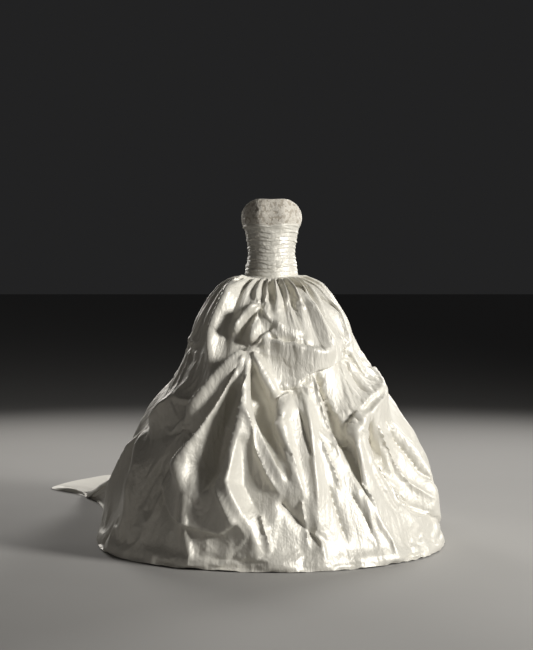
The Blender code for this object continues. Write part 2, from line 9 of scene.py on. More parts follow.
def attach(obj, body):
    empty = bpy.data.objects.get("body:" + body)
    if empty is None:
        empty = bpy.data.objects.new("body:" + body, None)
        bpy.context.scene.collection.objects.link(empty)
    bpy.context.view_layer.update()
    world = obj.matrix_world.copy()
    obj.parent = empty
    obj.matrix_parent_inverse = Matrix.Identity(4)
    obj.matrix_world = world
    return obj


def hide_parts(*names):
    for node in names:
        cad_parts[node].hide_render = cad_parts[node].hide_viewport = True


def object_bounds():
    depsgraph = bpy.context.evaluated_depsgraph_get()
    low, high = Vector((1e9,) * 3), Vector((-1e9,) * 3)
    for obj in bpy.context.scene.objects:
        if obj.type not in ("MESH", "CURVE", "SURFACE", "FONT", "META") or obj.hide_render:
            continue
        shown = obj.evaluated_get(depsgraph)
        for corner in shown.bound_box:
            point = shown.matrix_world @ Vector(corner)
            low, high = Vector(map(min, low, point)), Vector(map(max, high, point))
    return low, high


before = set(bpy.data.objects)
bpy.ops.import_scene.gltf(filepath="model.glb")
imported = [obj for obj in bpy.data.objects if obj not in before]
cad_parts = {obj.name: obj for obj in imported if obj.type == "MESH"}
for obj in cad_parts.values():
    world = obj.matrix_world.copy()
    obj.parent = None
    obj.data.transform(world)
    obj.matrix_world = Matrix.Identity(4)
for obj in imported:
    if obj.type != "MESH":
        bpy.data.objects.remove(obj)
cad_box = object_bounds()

# The studio. A pale floor that the hem lies on, a soft light from the gown's left front, a weak fill from its
# right front and two lights behind it. The camera looks at the gown from the front, a little above its waist.
FLOOR_WIDE, FLOOR_BELOW_HEM = 60.0, 0.0005
FLOOR_COLOUR = (0.38, 0.372, 0.36, 1)
hem_height = cad_box[0][2]

bpy.ops.object.select_all(action="DESELECT")
bpy.ops.mesh.primitive_plane_add(size=FLOOR_WIDE, location=(0, 0, 0))
floor = bpy.context.object
floor.name = "studio_floor"
for vertex in floor.data.vertices:
    vertex.co.z = hem_height - FLOOR_BELOW_HEM


class Value:
    """A number, colour or vector on its way through a material; sums and products add their own nodes."""

    def __init__(self, finish, socket):
        self.finish, self.socket = finish, socket

    def maths(self, operation, *others, backwards=False):
        values = [*others, self] if backwards else [self, *others]
        sockets = {f"_{number}": value for number, value in enumerate(values)}
        return self.finish.node("ShaderNodeMath", {"operation": operation}, **sockets)

    def __add__(self, other):
        return self.maths("ADD", other)

    def __sub__(self, other):
        return self.maths("SUBTRACT", other)

    def __rsub__(self, other):
        return self.maths("SUBTRACT", other, backwards=True)

    def __mul__(self, other):
        return self.maths("MULTIPLY", other)

    __radd__, __rmul__ = __add__, __mul__


class Finish:
    """One material and its Principled shader."""

    def __init__(self, name, **settings):
        self.slot = name
        self.material = bpy.data.materials.new(name)
        self.material.use_nodes = True
        self.tree = self.material.node_tree
        self.shader = self.tree.nodes["Principled BSDF"]
        self.wear(**settings)

    def wear(self, **sockets):
        """Puts numbers or values into the shader's sockets, named with underscores for their spaces."""
        for name, value in sockets.items():
            self.feed(self.shader.inputs[name.replace("_", " ")], value)

    def node(self, kind, settings=None, output=0, **sockets):
        """Adds a node; a socket is named by its own name, or by its number after an underscore."""
        node = self.tree.nodes.new(kind)
        for name, value in (settings or {}).items():
            setattr(node, name, value)
        for name, value in sockets.items():
            socket = node.inputs[int(name[1:])] if name[1:].isdigit() else node.inputs[name]
            self.feed(socket, value)
        return Value(self, node.outputs[output])

    def feed(self, socket, value):
        if isinstance(value, Value):
            self.tree.links.new(value.socket, socket)
        else:
            socket.default_value = value

    def blend(self, share, low, high):
        """Colour between two colours."""
        return self.node(
            "ShaderNodeMix", {"data_type": "RGBA"}, output=2, **{"Factor": share, "_6": low, "_7": high}
        )

    def ramp(self, value, *stops):
        """Value read off a ramp of (place, brightness) stops."""
        result = self.node("ShaderNodeValToRGB", **{"Fac": value})
        elements = result.socket.node.color_ramp.elements
        while len(elements) < len(stops):
            elements.new(0.5)
        for element, (place, brightness) in zip(elements, stops):
            element.position = place
            element.color = (brightness, brightness, brightness, 1)
        return result

    def place(self, own_map=False):
        """Where a point is on the piece: in the object's own metres, or on its UV map."""
        return self.node("ShaderNodeTexCoord", output=2 if own_map else 3)

    def drawn_out(self, place, *scales):
        """A place multiplied along each axis, which draws a pattern out along the others."""
        return self.node("ShaderNodeVectorMath", {"operation": "MULTIPLY"}, _0=place, _1=scales)

    def noise(self, place, scale, detail=2.0, rough=0.5):
        return self.node("ShaderNodeTexNoise", Vector=place, Scale=scale, Detail=detail, Roughness=rough)

    def bump(self, height, distance, strength=1.0):
        self.wear(Normal=self.node("ShaderNodeBump", Height=height, Distance=distance, Strength=strength))


studio = Finish("studio_floor", Base_Color=FLOOR_COLOUR)
studio.wear(Roughness=studio.noise(studio.place(), 3.0) * 0.1 + 0.82)
floor.data.materials.append(studio.material)

bpy.context.scene.view_settings.view_transform = "Standard"
WORLD_COLOUR, WORLD_STRENGTH = (0.80, 0.80, 0.82, 1), 0.02
world = bpy.data.worlds.new("studio")
bpy.context.scene.world = world
world.use_nodes = True
world.node_tree.nodes["Background"].inputs["Color"].default_value = WORLD_COLOUR
world.node_tree.nodes["Background"].inputs["Strength"].default_value = WORLD_STRENGTH

LAMP_SPREAD = 100.0  # degrees


def put(name, data):
    """A new object in the scene, made of this mesh, curve, light or camera."""
    thing = bpy.data.objects.new(name, data)
    bpy.context.scene.collection.objects.link(thing)
    return thing


def lamp(name, place, aim, size, power, colour):
    """Soft square light at a place, turned to what it lights."""
    data = bpy.data.lights.new(name, "AREA")
    data.size, data.energy, data.color = size, power, colour
    data.spread = math.radians(LAMP_SPREAD)
    light = put(name, data)
    light.location = place
    light.rotation_euler = (Vector(aim) - Vector(place)).to_track_quat("-Z", "Y").to_euler()


lamp("key", (4.6, -3.0, 1.35), (0, 0, -0.4), 1.2, 110, (1.0, 0.98, 0.94))
lamp("fill", (-3.8, -3.4, 0.6), (0, 0, -0.6), 2.5, 3, (1.0, 0.92, 0.84))
lamp("side", (-2.6, 5.2, 1.6), (0, 0.9, -0.8), 2.0, 40, (1.0, 0.97, 0.93))
lamp("back", (3.0, 4.8, 2.0), (0, 0.8, -0.8), 2.0, 60, (1.0, 0.98, 0.95))

EYE_HEIGHT, EYE_AWAY = 1.30, 6.9  # above the floor, and from the gown's axis
LENS, SENSOR = 90.0, 36.0  # millimetres
RENDER_WIDE, RENDER_TALL = 533, 650  # pixels
AXIS_PIXEL, EYE_LEVEL_PIXEL = 271.5, 236.9  # where the render shows the gown's axis and the eye's level
camera = put("camera", bpy.data.cameras.new("camera"))
camera.data.lens = LENS
camera.data.sensor_width = SENSOR
camera.data.shift_x = -(AXIS_PIXEL - RENDER_WIDE / 2) / RENDER_TALL
camera.location = (0, -EYE_AWAY, hem_height + EYE_HEIGHT)
pixels_per_radian = LENS / SENSOR * RENDER_TALL
tilt = math.atan((RENDER_TALL / 2 - EYE_LEVEL_PIXEL) / pixels_per_radian)
camera.rotation_euler = (math.pi / 2 - tilt, 0, 0)
bpy.context.scene.camera = camera

# The bust band. A strip of beaded lace over the top of the bodice, cut in a front and two backs. Its top edge
# runs nearly straight across the bust and falls under the arms, and its lower edge points down at the centre.
Section = namedtuple("Section", "z half_width front back bust")
BODICE = (
    Section(z=0.215, half_width=0.1165, front=0.104, back=0.085, bust=0.006),
    Section(z=0.190, half_width=0.1178, front=0.113, back=0.088, bust=0.011),
    Section(z=0.160, half_width=0.1218, front=0.120, back=0.092, bust=0.014),
    Section(z=0.136, half_width=0.1252, front=0.122, back=0.095, bust=0.013),
    Section(z=0.110, half_width=0.1208, front=0.117, back=0.094, bust=0.008),
    Section(z=0.085, half_width=0.1110, front=0.107, back=0.090, bust=0.003),
    Section(z=0.050, half_width=0.1040, front=0.098, back=0.086, bust=0.000),
    Section(z=0.000, half_width=0.0965, front=0.090, back=0.084, bust=0.000),
    Section(z=-0.035, half_width=0.0980, front=0.091, back=0.087, bust=0.000),
    Section(z=-0.075, half_width=0.1050, front=0.095, back=0.095, bust=0.000),
    Section(z=-0.120, half_width=0.1135, front=0.100, back=0.104, bust=0.000),
)
BUST_APART, BUST_WIDE = 27.0, 17.0  # degrees
Edge = namedtuple("Edge", "angle top band waist")
EDGES = (
    Edge(angle=0, top=0.212, band=0.103, waist=-0.116),
    Edge(angle=12, top=0.213, band=0.108, waist=-0.114),
    Edge(angle=36, top=0.211, band=0.113, waist=-0.110),
    Edge(angle=60, top=0.191, band=0.111, waist=-0.107),
    Edge(angle=85, top=0.161, band=0.105, waist=-0.105),
    Edge(angle=120, top=0.152, band=0.098, waist=-0.105),
    Edge(angle=180, top=0.148, band=0.094, waist=-0.106),
)


def column(table, name):
    return np.array([getattr(row, name) for row in table], float)


def curve(at, places, values):
    """Smooth curve through the values, held at its ends."""
    order = np.argsort(places)
    places, values = places[order], values[order]
    slopes = np.gradient(values, places)
    at = np.clip(at, places[0], places[-1])
    i = np.clip(np.searchsorted(places, at) - 1, 0, len(places) - 2)
    step = places[i + 1] - places[i]
    t = (at - places[i]) / step
    start = (1 + 2 * t) * (1 - t) ** 2 * values[i] + t * (1 - t) ** 2 * step * slopes[i]
    end = t * t * (3 - 2 * t) * values[i + 1] + t * t * (t - 1) * step * slopes[i + 1]
    return start + end


def ease(x, low, high):
    t = np.clip((x - low) / (high - low), 0, 1)
    return t * t * (3 - 2 * t)


def bell(x):
    """One at nothing, and falling away smoothly to both sides."""
    return np.exp(-(x**2))


def unit(vectors):
    return vectors / np.maximum(np.linalg.norm(vectors, axis=-1, keepdims=True), 1e-12)


def edge(name, angle):
    """Height of a bodice edge at an angle in degrees; both halves are alike."""
    return curve(np.abs(angle), column(EDGES, "angle"), column(EDGES, name))


def bodice_point(angle, z):
    """Point of the body surface at an angle in degrees from the centre front."""
    theta = np.radians(angle)
    size = {name: curve(z, column(BODICE, "z"), column(BODICE, name)) for name in Section._fields[1:]}
    cups = sum(bell((angle - side * BUST_APART) / BUST_WIDE) for side in (-1, 1))
    depth = np.where(np.cos(theta) > 0, size["front"], size["back"]) + size["bust"] * cups
    return np.stack([size["half_width"] * np.sin(theta), -depth * np.cos(theta), z + 0 * theta], -1)


BODICE_PIECES = (("front", -90, 90), ("back_left", 90, 180), ("back_right", -180, -90))  # degrees round
SEAM = 0.0003
LACE_WALL, LACE_SEAT, LACE_RAISED = 0.0012, 0.0011, 0.0008
LACE_CELL, LACE_HEM = 0.0012, 0.0016
BAND_RADIUS, BAND_RADIUS_MOST = 0.12, 0.122
ACROSS_PER_RADIAN = 0.118
BAND_CUT = {"front": (0.115, 0.096), "back_left": (0.072, 0.054), "back_right": (0.072, 0.054)}  # height, mean

# The lace's sprigs are five-petalled flowers with a pair of leaves each, in loose rows.
FLOWER_APART, FLOWER_ROWS_APART, FLOWER_STRAYS = 0.031, 0.0255, 0.12
FLOWER_ROWS, FLOWER_ROW_HEIGHT = range(-1, 6), 0.098
FLOWER_RADIUS, FLOWER_SIZES, PETALS = 0.0125, (0.8, 1.05), 5
LEAF_LONG, LEAF_WIDE, LEAF_BENDS, LEAF_TURNS = 0.0125, 0.0042, 12, (0.9, 2.6)
LEAF_CORD = 0.0006

# The beads' radii. On a flower they lie at shares of its radius out, and at turns aside from a petal's middle.
MIDDLE_BEAD, LEAF_BEAD, LOOSE_BEADS, RIM_BEAD = 0.0017, 0.0010, (0.0007, 0.0011), 0.0011
PETAL_BEADS = ((0.42, 0, 0.0011), (0.97, 0, 0.0014), (0.78, 0.36, 0.0010), (0.78, -0.36, 0.0010))
LEAF_REACHES, LEAF_BEAD_STRAYS = (1.05, 1.4, 1.75, 2.1), 0.0004
LOOSE_PER_METRE, LOOSE_HEIGHTS = 1500, (0.09, 0.215)
RIM_BEADS_PER_DEGREE, RIM_INSET = 1.1, 0.0016
RIM_FROM_SEAM, BEADS_FROM_SEAM, BEADS_FROM_HEM = 0.4, 0.3, 0.001  # the first two in degrees
BEAD_SEAT, BEAD_PROUD = 0.0017, 0.55  # from body to net, and the share of its radius that a bead stands out


def grid_faces(columns, rows, closed=False):
    """Faces of a grid whose columns run round and whose rows run down, turned outwards."""
    index = np.arange(columns * rows).reshape(columns, rows)
    beside = np.roll(index, -1, 0)
    here = index if closed else index[:-1]
    beside = beside if closed else beside[:-1]
    return np.stack([here[:, :-1], here[:, 1:], beside[:, 1:], beside[:, :-1]], -1).reshape(-1, 4)


def grid_normals(points):
    return unit(np.cross(np.gradient(points, axis=1), np.gradient(points, axis=0)))


def sew(node, points, cut, finish, thickness, **marks):
    """A sheet of cloth in place of a node: a grid of points, with the metres of cloth at each as its UV map."""
    columns, rows = points.shape[:2]
    faces = grid_faces(columns, rows)
    mesh = bpy.data.meshes.new("cloth_" + node)
    mesh.from_pydata(points.reshape(-1, 3).tolist(), [], faces.tolist())
    mesh.uv_layers.new(name="metres").uv.foreach_set("vector", cut.reshape(-1, 2)[faces.ravel()].ravel())
    for name, values in marks.items():
        mesh.attributes.new(name, "FLOAT", "POINT").data.foreach_set("value", values.ravel())
    mesh.shade_smooth()
    mesh.materials.append(finish.material)
    sheet = put(mesh.name, mesh)
    bpy.context.view_layer.objects.active = sheet
    sheet.modifiers.new("wall", "SOLIDIFY").thickness = thickness
    sheet.modifiers["wall"].offset = 0
    bpy.ops.object.modifier_apply(modifier="wall")
    mesh.set_sharp_from_angle(angle=math.radians(70))
    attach(sheet, "root")
    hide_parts(node)
    return sheet


def lace_motifs(start, end, seed):
    """Centres, turns and sizes of the flowers over a stretch of the band, across it and up it."""
    chance = np.random.default_rng(seed)
    low = math.floor(math.radians(start) * ACROSS_PER_RADIAN / FLOWER_APART - 1)
    high = math.ceil(math.radians(end) * ACROSS_PER_RADIAN / FLOWER_APART + 1)
    motifs = []
    for row in FLOWER_ROWS:
        shift = 0.5 * (row % 2)
        for number in range(low, high + 1):
            x = (number + shift + chance.uniform(-FLOWER_STRAYS, FLOWER_STRAYS)) * FLOWER_APART
            y = FLOWER_ROW_HEIGHT + (row + chance.uniform(-FLOWER_STRAYS, FLOWER_STRAYS)) * FLOWER_ROWS_APART
            motifs.append((x, y, chance.uniform(0, 2 * math.pi), chance.uniform(*FLOWER_SIZES)))
    return motifs


def lace_relief(across, up, motifs):
    """How solid the lace is at each place, from open net to a corded edge."""
    solid = np.zeros(across.shape)
    for x, y, turn, size in motifs:
        near = np.hypot(across - x, up - y) / (FLOWER_RADIUS * size)
        bearing = np.arctan2(up - y, across - x)
        petal = 0.50 + 0.50 * np.abs(np.cos(PETALS / 2 * (bearing - turn)))
        inside = ease(petal - near, -0.04, 0.08)
        cord = bell((near - petal) / 0.09)
        veins = 0.14 * np.cos(5 * PETALS * bearing) * ease(near, 0.2, 0.5)
        solid = np.maximum(solid, np.maximum(inside * (0.55 + veins), cord))
        for lean in LEAF_TURNS:
            along_x, along_y = math.cos(turn + lean), math.sin(turn + lean)
            u = (across - x) * along_x + (up - y) * along_y - (FLOWER_RADIUS + 0.4 * LEAF_LONG)
            v = -(across - x) * along_y + (up - y) * along_x + LEAF_BENDS * u * u
            half_wide = LEAF_WIDE * np.clip(1 - (u / LEAF_LONG) ** 2, 0, 1)
            leaf = ease(half_wide - np.abs(v), -0.0004, 0.0006)
            cord = bell((np.abs(v) - half_wide) / LEAF_CORD) * (np.abs(u) < LEAF_LONG)
            solid = np.maximum(solid, np.maximum(leaf * 0.5, cord * 0.9))
    return solid


def bead_places(motifs, seed):
    """Beads on each flower: one large in the middle, then along its petals, on its leaves and loose between."""
    chance = np.random.default_rng(seed)
    places = []
    for x, y, turn, size in motifs:
        radius = FLOWER_RADIUS * size
        places.append((x, y, MIDDLE_BEAD))
        for petal in range(PETALS):
            angle = turn + petal * 2 * math.pi / PETALS
            for reach, aside, bead in PETAL_BEADS:
                places.append((
                    x + radius * reach * math.cos(angle + aside),
                    y + radius * reach * math.sin(angle + aside),
                    bead,
                ))
        for lean in LEAF_TURNS:
            for reach in LEAF_REACHES:
                places.append((
                    x + radius * reach * math.cos(turn + lean) + chance.normal(0, LEAF_BEAD_STRAYS),
                    y + radius * reach * math.sin(turn + lean) + chance.normal(0, LEAF_BEAD_STRAYS),
                    LEAF_BEAD,
                ))
    low, high = min(motif[0] for motif in motifs), max(motif[0] for motif in motifs)
    for _ in range(round((high - low) * LOOSE_PER_METRE)):
        places.append((chance.uniform(low, high), chance.uniform(*LOOSE_HEIGHTS), chance.uniform(*LOOSE_BEADS)))
    return np.array(places)


# The lace's colours: ivory cords, and a brown net and threads between them, partly the lace's own champagne
# tone and partly painted shade in its low, open parts.
NET_TONE_AND_SHADE_COLOUR, THREAD_TONE_AND_SHADE_COLOUR, CORD_COLOUR = (0.50, 0.44, 0.35, 1), (0.34, 0.30, 0.24, 1), (0.86, 0.83, 0.76, 1)
PEARL_COLOURS = (0.80, 0.75, 0.66, 1), (0.96, 0.94, 0.90, 1)

lace = Finish("beaded_lace", Sheen_Weight=0.3)
raised = lace.node("ShaderNodeAttribute", {"attribute_name": "raised"}, output=2)
metres = lace.place(own_map=True)
net = lace.node("ShaderNodeTexVoronoi", {"feature": "DISTANCE_TO_EDGE"}, Vector=metres, Scale=420.0)
threads = lace.noise(metres, 900.0, 3.0, 0.7)
# Painted shade, partly the lace's champagne tone: the low net and its holes are made browner and darker than
# the raised cords.
hole = lace.ramp(net, (0.0, 0.0), (0.12, 0.25), (0.3, 1.0)) * (1 - raised)
cord_and_thread_shade = lace.blend(raised * 0.75 + threads * 0.25, THREAD_TONE_AND_SHADE_COLOUR, CORD_COLOUR)
lace.wear(Base_Color=lace.blend(hole * 0.55, cord_and_thread_shade, NET_TONE_AND_SHADE_COLOUR), Roughness=0.72 - raised * 0.22)
lace.bump(threads * 0.5 - hole * 0.8, 0.0004, 0.7)

pearl = Finish("pearl_bead", Coat_Weight=0.4, Coat_Roughness=0.12)
luster = pearl.noise(pearl.place(), 260.0, 1.0)
pearl.wear(Base_Color=pearl.blend(luster, *PEARL_COLOURS), Roughness=luster * 0.18 + 0.14)

bpy.ops.mesh.primitive_uv_sphere_add(segments=7, ring_count=4, radius=1)
bead = bpy.context.object
bead_points = np.array([vertex.co for vertex in bead.data.vertices])
bead_faces = [list(face.vertices) for face in bead.data.polygons]
bpy.data.objects.remove(bead)

for number, (piece, start, end) in enumerate(BODICE_PIECES):
    motifs = lace_motifs(start, end, 3 + number)
    half_seam = math.degrees(SEAM / 2 / BAND_RADIUS)
    columns = round(math.radians(end - start) * BAND_RADIUS_MOST / LACE_CELL)
    angles = np.linspace(start + half_seam, end - half_seam, 1 + columns)
    top, bottom = edge("top", angles), edge("band", angles) + SEAM / 2
    shares = np.linspace(0, 1, 1 + round(float(np.mean(top - bottom)) / LACE_CELL))
    z = top[:, None] + (bottom - top)[:, None] * shares[None]
    angle = np.repeat(angles[:, None], len(shares), 1)
    across = np.radians(angle) * ACROSS_PER_RADIAN
    hems = bell((z - top[:, None]) / LACE_HEM) + bell((z - bottom[:, None]) / LACE_HEM)
    solid = np.maximum(lace_relief(across, z, motifs), 0.85 * hems)
    points = bodice_point(angle, z)
    points = points + grid_normals(points) * (LACE_SEAT + LACE_RAISED * solid[..., None])
    band = sew("lace_band_" + piece, points, np.stack([across, z], -1), lace, LACE_WALL, raised=solid)

    beads = bead_places(motifs, 30 + number)
    count = round((end - start) * RIM_BEADS_PER_DEGREE)
    rim = np.linspace(start + RIM_FROM_SEAM, end - RIM_FROM_SEAM, count)
    rim = np.radians(rim) * ACROSS_PER_RADIAN
    for name, inset in (("top", -RIM_INSET), ("band", RIM_INSET)):
        heights = edge(name, np.degrees(rim / ACROSS_PER_RADIAN)) + inset
        beads = np.concatenate([beads, np.stack([rim, heights, 0 * rim + RIM_BEAD], -1)])
    at = np.degrees(beads[:, 0] / ACROSS_PER_RADIAN)
    inside = (at > start + BEADS_FROM_SEAM) & (at < end - BEADS_FROM_SEAM)
    inside &= beads[:, 1] < edge("top", at) - BEADS_FROM_HEM
    inside &= beads[:, 1] > edge("band", at) + BEADS_FROM_HEM
    beads, at = beads[inside], at[inside]
    centre = bodice_point(at, beads[:, 1])
    beside = bodice_point(at + 0.1, beads[:, 1]) - centre
    below = bodice_point(at, beads[:, 1] - 0.0001) - centre
    seat = BEAD_SEAT + LACE_WALL / 2 + beads[:, 2] * BEAD_PROUD
    centre = centre + unit(np.cross(below, beside)) * seat[:, None]
    string = (bead_points[None] * beads[:, 2][:, None, None] + centre[:, None]).reshape(-1, 3)
    firsts = range(0, len(string), len(bead_points))
    faces = [[first + corner for corner in face] for first in firsts for face in bead_faces]
    mesh = bpy.data.meshes.new("beads_" + piece)
    mesh.from_pydata(string.tolist(), [], faces)
    mesh.shade_smooth()
    mesh.materials.append(pearl.material)
    beading = put(mesh.name, mesh)
    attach(beading, "root")
    height, mean_height = BAND_CUT[piece]

# The midriff. A bias-cut strip of taffeta on the same three panels as the band, drawn up into uneven pleats
# that lie across it and are caught down at its top and bottom and along the button stands.
Pleat = namedtuple("Pleat", "share out tilt")
PLEATS = (
    Pleat(share=0.030, out=0.0041, tilt=0.000),
    Pleat(share=0.095, out=0.0030, tilt=0.003),
    Pleat(share=0.165, out=0.0043, tilt=-0.003),
    Pleat(share=0.240, out=0.0035, tilt=0.002),
    Pleat(share=0.305, out=0.0046, tilt=0.004),
    Pleat(share=0.385, out=0.0032, tilt=-0.004),
    Pleat(share=0.450, out=0.0041, tilt=-0.002),
    Pleat(share=0.525, out=0.0049, tilt=0.003),
    Pleat(share=0.600, out=0.0030, tilt=0.004),
    Pleat(share=0.665, out=0.0043, tilt=-0.003),
    Pleat(share=0.745, out=0.0038, tilt=0.002),
    Pleat(share=0.815, out=0.0046, tilt=-0.004),
    Pleat(share=0.890, out=0.0032, tilt=0.002),
    Pleat(share=0.960, out=0.0041, tilt=0.000),
)
CLOTH = 0.0012
MIDRIFF_ROWS, MIDRIFF_COLUMNS_PER_DEGREE = 94, 1.08
MIDRIFF_RADIUS, MIDRIFF_CUT_RADIUS, MIDRIFF_CUT = 0.1, 0.102, 0.30
MIDRIFF_DOWN = 0.36  # metres of weave that show down the pleats
STAND_FROM, STAND_TO = 150.0, 164.0  # degrees round to where the pleats give way to the button stand
PLEAT_WANDERS, PLEAT_ARCH = 0.022, 0.020
PLEAT_SIZE, PLEAT_SIZE_VARIES = 0.62, 0.55
PLEAT_OUT = 1.35
PLEAT_FULL, PLEAT_LAPS = 0.004, 0.0030  # where a pleat stands out by the first, it laps down by the second
TUCKS, PUCKERS = (9, 44, 0.0012), (22, 90, 0.00025)  # cells per radian and down the panel, and height
TAFFETA_COLOURS = (0.66, 0.635, 0.565, 1), (0.79, 0.77, 0.705, 1)

taffeta = Finish("ivory_taffeta", Sheen_Weight=0.1, Specular_IOR_Level=0.5, Metallic=0.18)
metres = taffeta.place(own_map=True)
wander = taffeta.node("ShaderNodeTexNoise", output=1, Vector=metres, Scale=14.0, Detail=3.0)
warped = taffeta.node(
    "ShaderNodeVectorMath", {"operation": "MULTIPLY_ADD"}, _0=wander, _1=(0.05, 0.05, 0.05), _2=metres
)
creases = taffeta.node("ShaderNodeTexVoronoi", {"feature": "F1"}, Vector=warped, Scale=26.0)
fine_creases = taffeta.node("ShaderNodeTexVoronoi", {"feature": "F1"}, Vector=warped, Scale=70.0)
lengths = taffeta.node("ShaderNodeUVMap", {"uv_map": "metres"})
wrinkles = taffeta.noise(taffeta.drawn_out(lengths, 38.0, 7.0, 1.0), 1.0, 3.0, 0.55)
slub = taffeta.noise(taffeta.drawn_out(metres, 60.0, 900.0, 1.0), 1.0, 2.0, 0.6)
mottle = taffeta.noise(metres, 5.0, 4.0, 0.6)
taffeta.wear(
    Base_Color=taffeta.blend(mottle * 0.7 + slub * 0.3, *TAFFETA_COLOURS),
    Roughness=mottle * 0.14 + slub * 0.14 + 0.34,
)
taffeta.bump(creases * 0.8 + fine_creases * 0.5 + wrinkles * 1.3 + slub * 0.10, 0.003, 0.6)


def crumple(x, y, seed):
    """Smooth random heights from -1 to 1 over a plane of unit cells."""
    lattice = np.random.default_rng(seed).uniform(-1, 1, (61, 61))
    i, j = np.floor(x).astype(int), np.floor(y).astype(int)
    s, t = ease(x - i, 0, 1), ease(y - j, 0, 1)
    near, far = (lattice[k % 61, j % 61] * (1 - t) + lattice[k % 61, (j + 1) % 61] * t for k in (i, i + 1))
    return near * (1 - s) + far * s


def pleated(angle, share):
    """How far the ruched cloth stands out at an angle and a share of the way down its panel."""
    theta = np.radians(angle)
    height = float(edge("band", 0.0) - edge("waist", 0.0))
    crests, sizes = [np.full(angle.shape, -0.06)], [0 * angle]
    for number, pleat in enumerate(PLEATS):
        wander = PLEAT_WANDERS * crumple(theta * 2.2 + 7 * number, 0 * theta + 0.5, 11)
        arch = PLEAT_ARCH * (1 - pleat.share) * np.cos(theta * 1.2)
        crests.append(pleat.share + pleat.tilt * np.sin(theta) / height + wander - arch * (number > 0))
        varies = PLEAT_SIZE_VARIES * crumple(theta * 2.8 + 5 * number, 0 * theta, 12)
        sizes.append(pleat.out * (PLEAT_SIZE + varies))
    crests.append(np.full(angle.shape, 1.05))
    sizes.append(0 * angle)
    out = np.zeros(angle.shape)
    for above, below, above_size, below_size in zip(crests, crests[1:], sizes, sizes[1:]):
        u = (share - above) / np.maximum(below - above, 0.02)
        step = above_size * (1 - ease(u, 0, 0.28))
        rise = below_size * np.clip(u, 0, 1) ** 1.4
        out = np.where((u >= 0) & (u < 1), np.maximum(step, rise), out)
    return out


for piece, start, end in BODICE_PIECES:
    half_seam = math.degrees(SEAM / 2 / MIDRIFF_RADIUS)
    columns = 1 + round((end - start) * MIDRIFF_COLUMNS_PER_DEGREE)
    angles = np.linspace(start + half_seam, end - half_seam, columns)
    angle, share = np.meshgrid(angles, np.linspace(0, 1, MIDRIFF_ROWS), indexing="ij")
    top, bottom = edge("band", angles) - SEAM / 2, edge("waist", angles) + SEAM / 2
    z = top[:, None] + (bottom - top)[:, None] * share
    folded = 1 - ease(np.abs(angle), STAND_FROM, STAND_TO)
    folded *= ease(share, 0, 0.02) * (1 - ease(share, 0.975, 1))
    out = pleated(angle, share)
    across, down, height = TUCKS
    fine = np.maximum(0, crumple(np.radians(angle) * across, share * down, 21) - 0.1) * height
    across, down, height = PUCKERS
    fine += crumple(np.radians(angle) * across, share * down, 22) * height
    points = bodice_point(angle, z)
    points = points + grid_normals(points) * ((PLEAT_OUT * out + fine) * folded + CLOTH / 2)[..., None]
    points[..., 2] -= PLEAT_LAPS * (out / PLEAT_FULL) * folded
    weave = np.stack([np.radians(angle) * MIDRIFF_RADIUS, -share * MIDRIFF_DOWN], -1)
    panel = sew("midriff_" + piece, points, weave, taffeta, CLOTH)

# The skirt. Nine gores of crisp taffeta, gathered into the waist seam, caught up to the petticoat at the
# pick-ups, and let out behind into a train. The cloth is hung over its form, settled, and then creased.
LOWEST = hem_height + CLOTH / 2

# The skirt before it is picked up: half its width, by the drop below the waist seam.
Hoop = namedtuple("Hoop", "drop half_width front back")
SKIRT = (
    Hoop(drop=0.000, half_width=0.112, front=0.88, back=0.91),
    Hoop(drop=0.012, half_width=0.152, front=0.88, back=0.92),
    Hoop(drop=0.030, half_width=0.196, front=0.88, back=0.93),
    Hoop(drop=0.070, half_width=0.243, front=0.89, back=0.94),
    Hoop(drop=0.120, half_width=0.280, front=0.90, back=0.96),
    Hoop(drop=0.180, half_width=0.314, front=0.90, back=0.98),
    Hoop(drop=0.250, half_width=0.338, front=0.90, back=1.00),
    Hoop(drop=0.340, half_width=0.378, front=0.90, back=1.00),
    Hoop(drop=0.450, half_width=0.442, front=0.90, back=1.00),
    Hoop(drop=0.560, half_width=0.500, front=0.90, back=1.00),
    Hoop(drop=0.680, half_width=0.556, front=0.90, back=1.00),
    Hoop(drop=0.800, half_width=0.616, front=0.90, back=1.00),
    Hoop(drop=0.920, half_width=0.666, front=0.90, back=1.00),
    Hoop(drop=1.030, half_width=0.710, front=0.90, back=1.00),
    Hoop(drop=1.138, half_width=0.735, front=0.90, back=1.00),
)
DROP_STEPS, DROPS_CLOSER = 400, 1.6  # steps that measure the cloth down the flare, closer at the waist

# Where the train's hem lies on the floor, going round the back from the right side to the left.
Hem = namedtuple("Hem", "angle x y")
TRAIN = (
    Hem(angle=-84, x=-0.733, y=-0.040),
    Hem(angle=-94, x=-0.745, y=0.110),
    Hem(angle=-102, x=-0.768, y=0.420),
    Hem(angle=-109, x=-0.800, y=0.790),
    Hem(angle=-115, x=-0.870, y=1.060),
    Hem(angle=-121, x=-0.990, y=1.280),
    Hem(angle=-127, x=-1.130, y=1.430),
    Hem(angle=-134, x=-1.100, y=1.610),
    Hem(angle=-143, x=-0.960, y=1.840),
    Hem(angle=-155, x=-0.680, y=2.060),
    Hem(angle=-168, x=-0.340, y=2.150),
    Hem(angle=-181, x=0.020, y=2.090),
    Hem(angle=-195, x=0.310, y=1.840),
    Hem(angle=-210, x=0.520, y=1.430),
    Hem(angle=-224, x=0.640, y=1.000),
    Hem(angle=-238, x=0.705, y=0.620),
    Hem(angle=-252, x=0.730, y=0.300),
    Hem(angle=-266, x=0.735, y=0.040),
)
TRAIN_SWEEP = 0.85  # how far before and after the floor line the train takes to lie flat
TRAIN_BORNE = 0.45  # how far its underskirts bear it up there, from hanging at 0 to straight at 1
TRAIN_BACK_FIRST = 0.8  # how far it runs straight back before it bends towards its hem
TRAIN_BEGINS = ((-88, -76), (-275, -262))  # degrees over which it grows out of the side, right and left
TRAIN_ROWS = 0.24  # share of rows given to each metre of train, against those above the floor

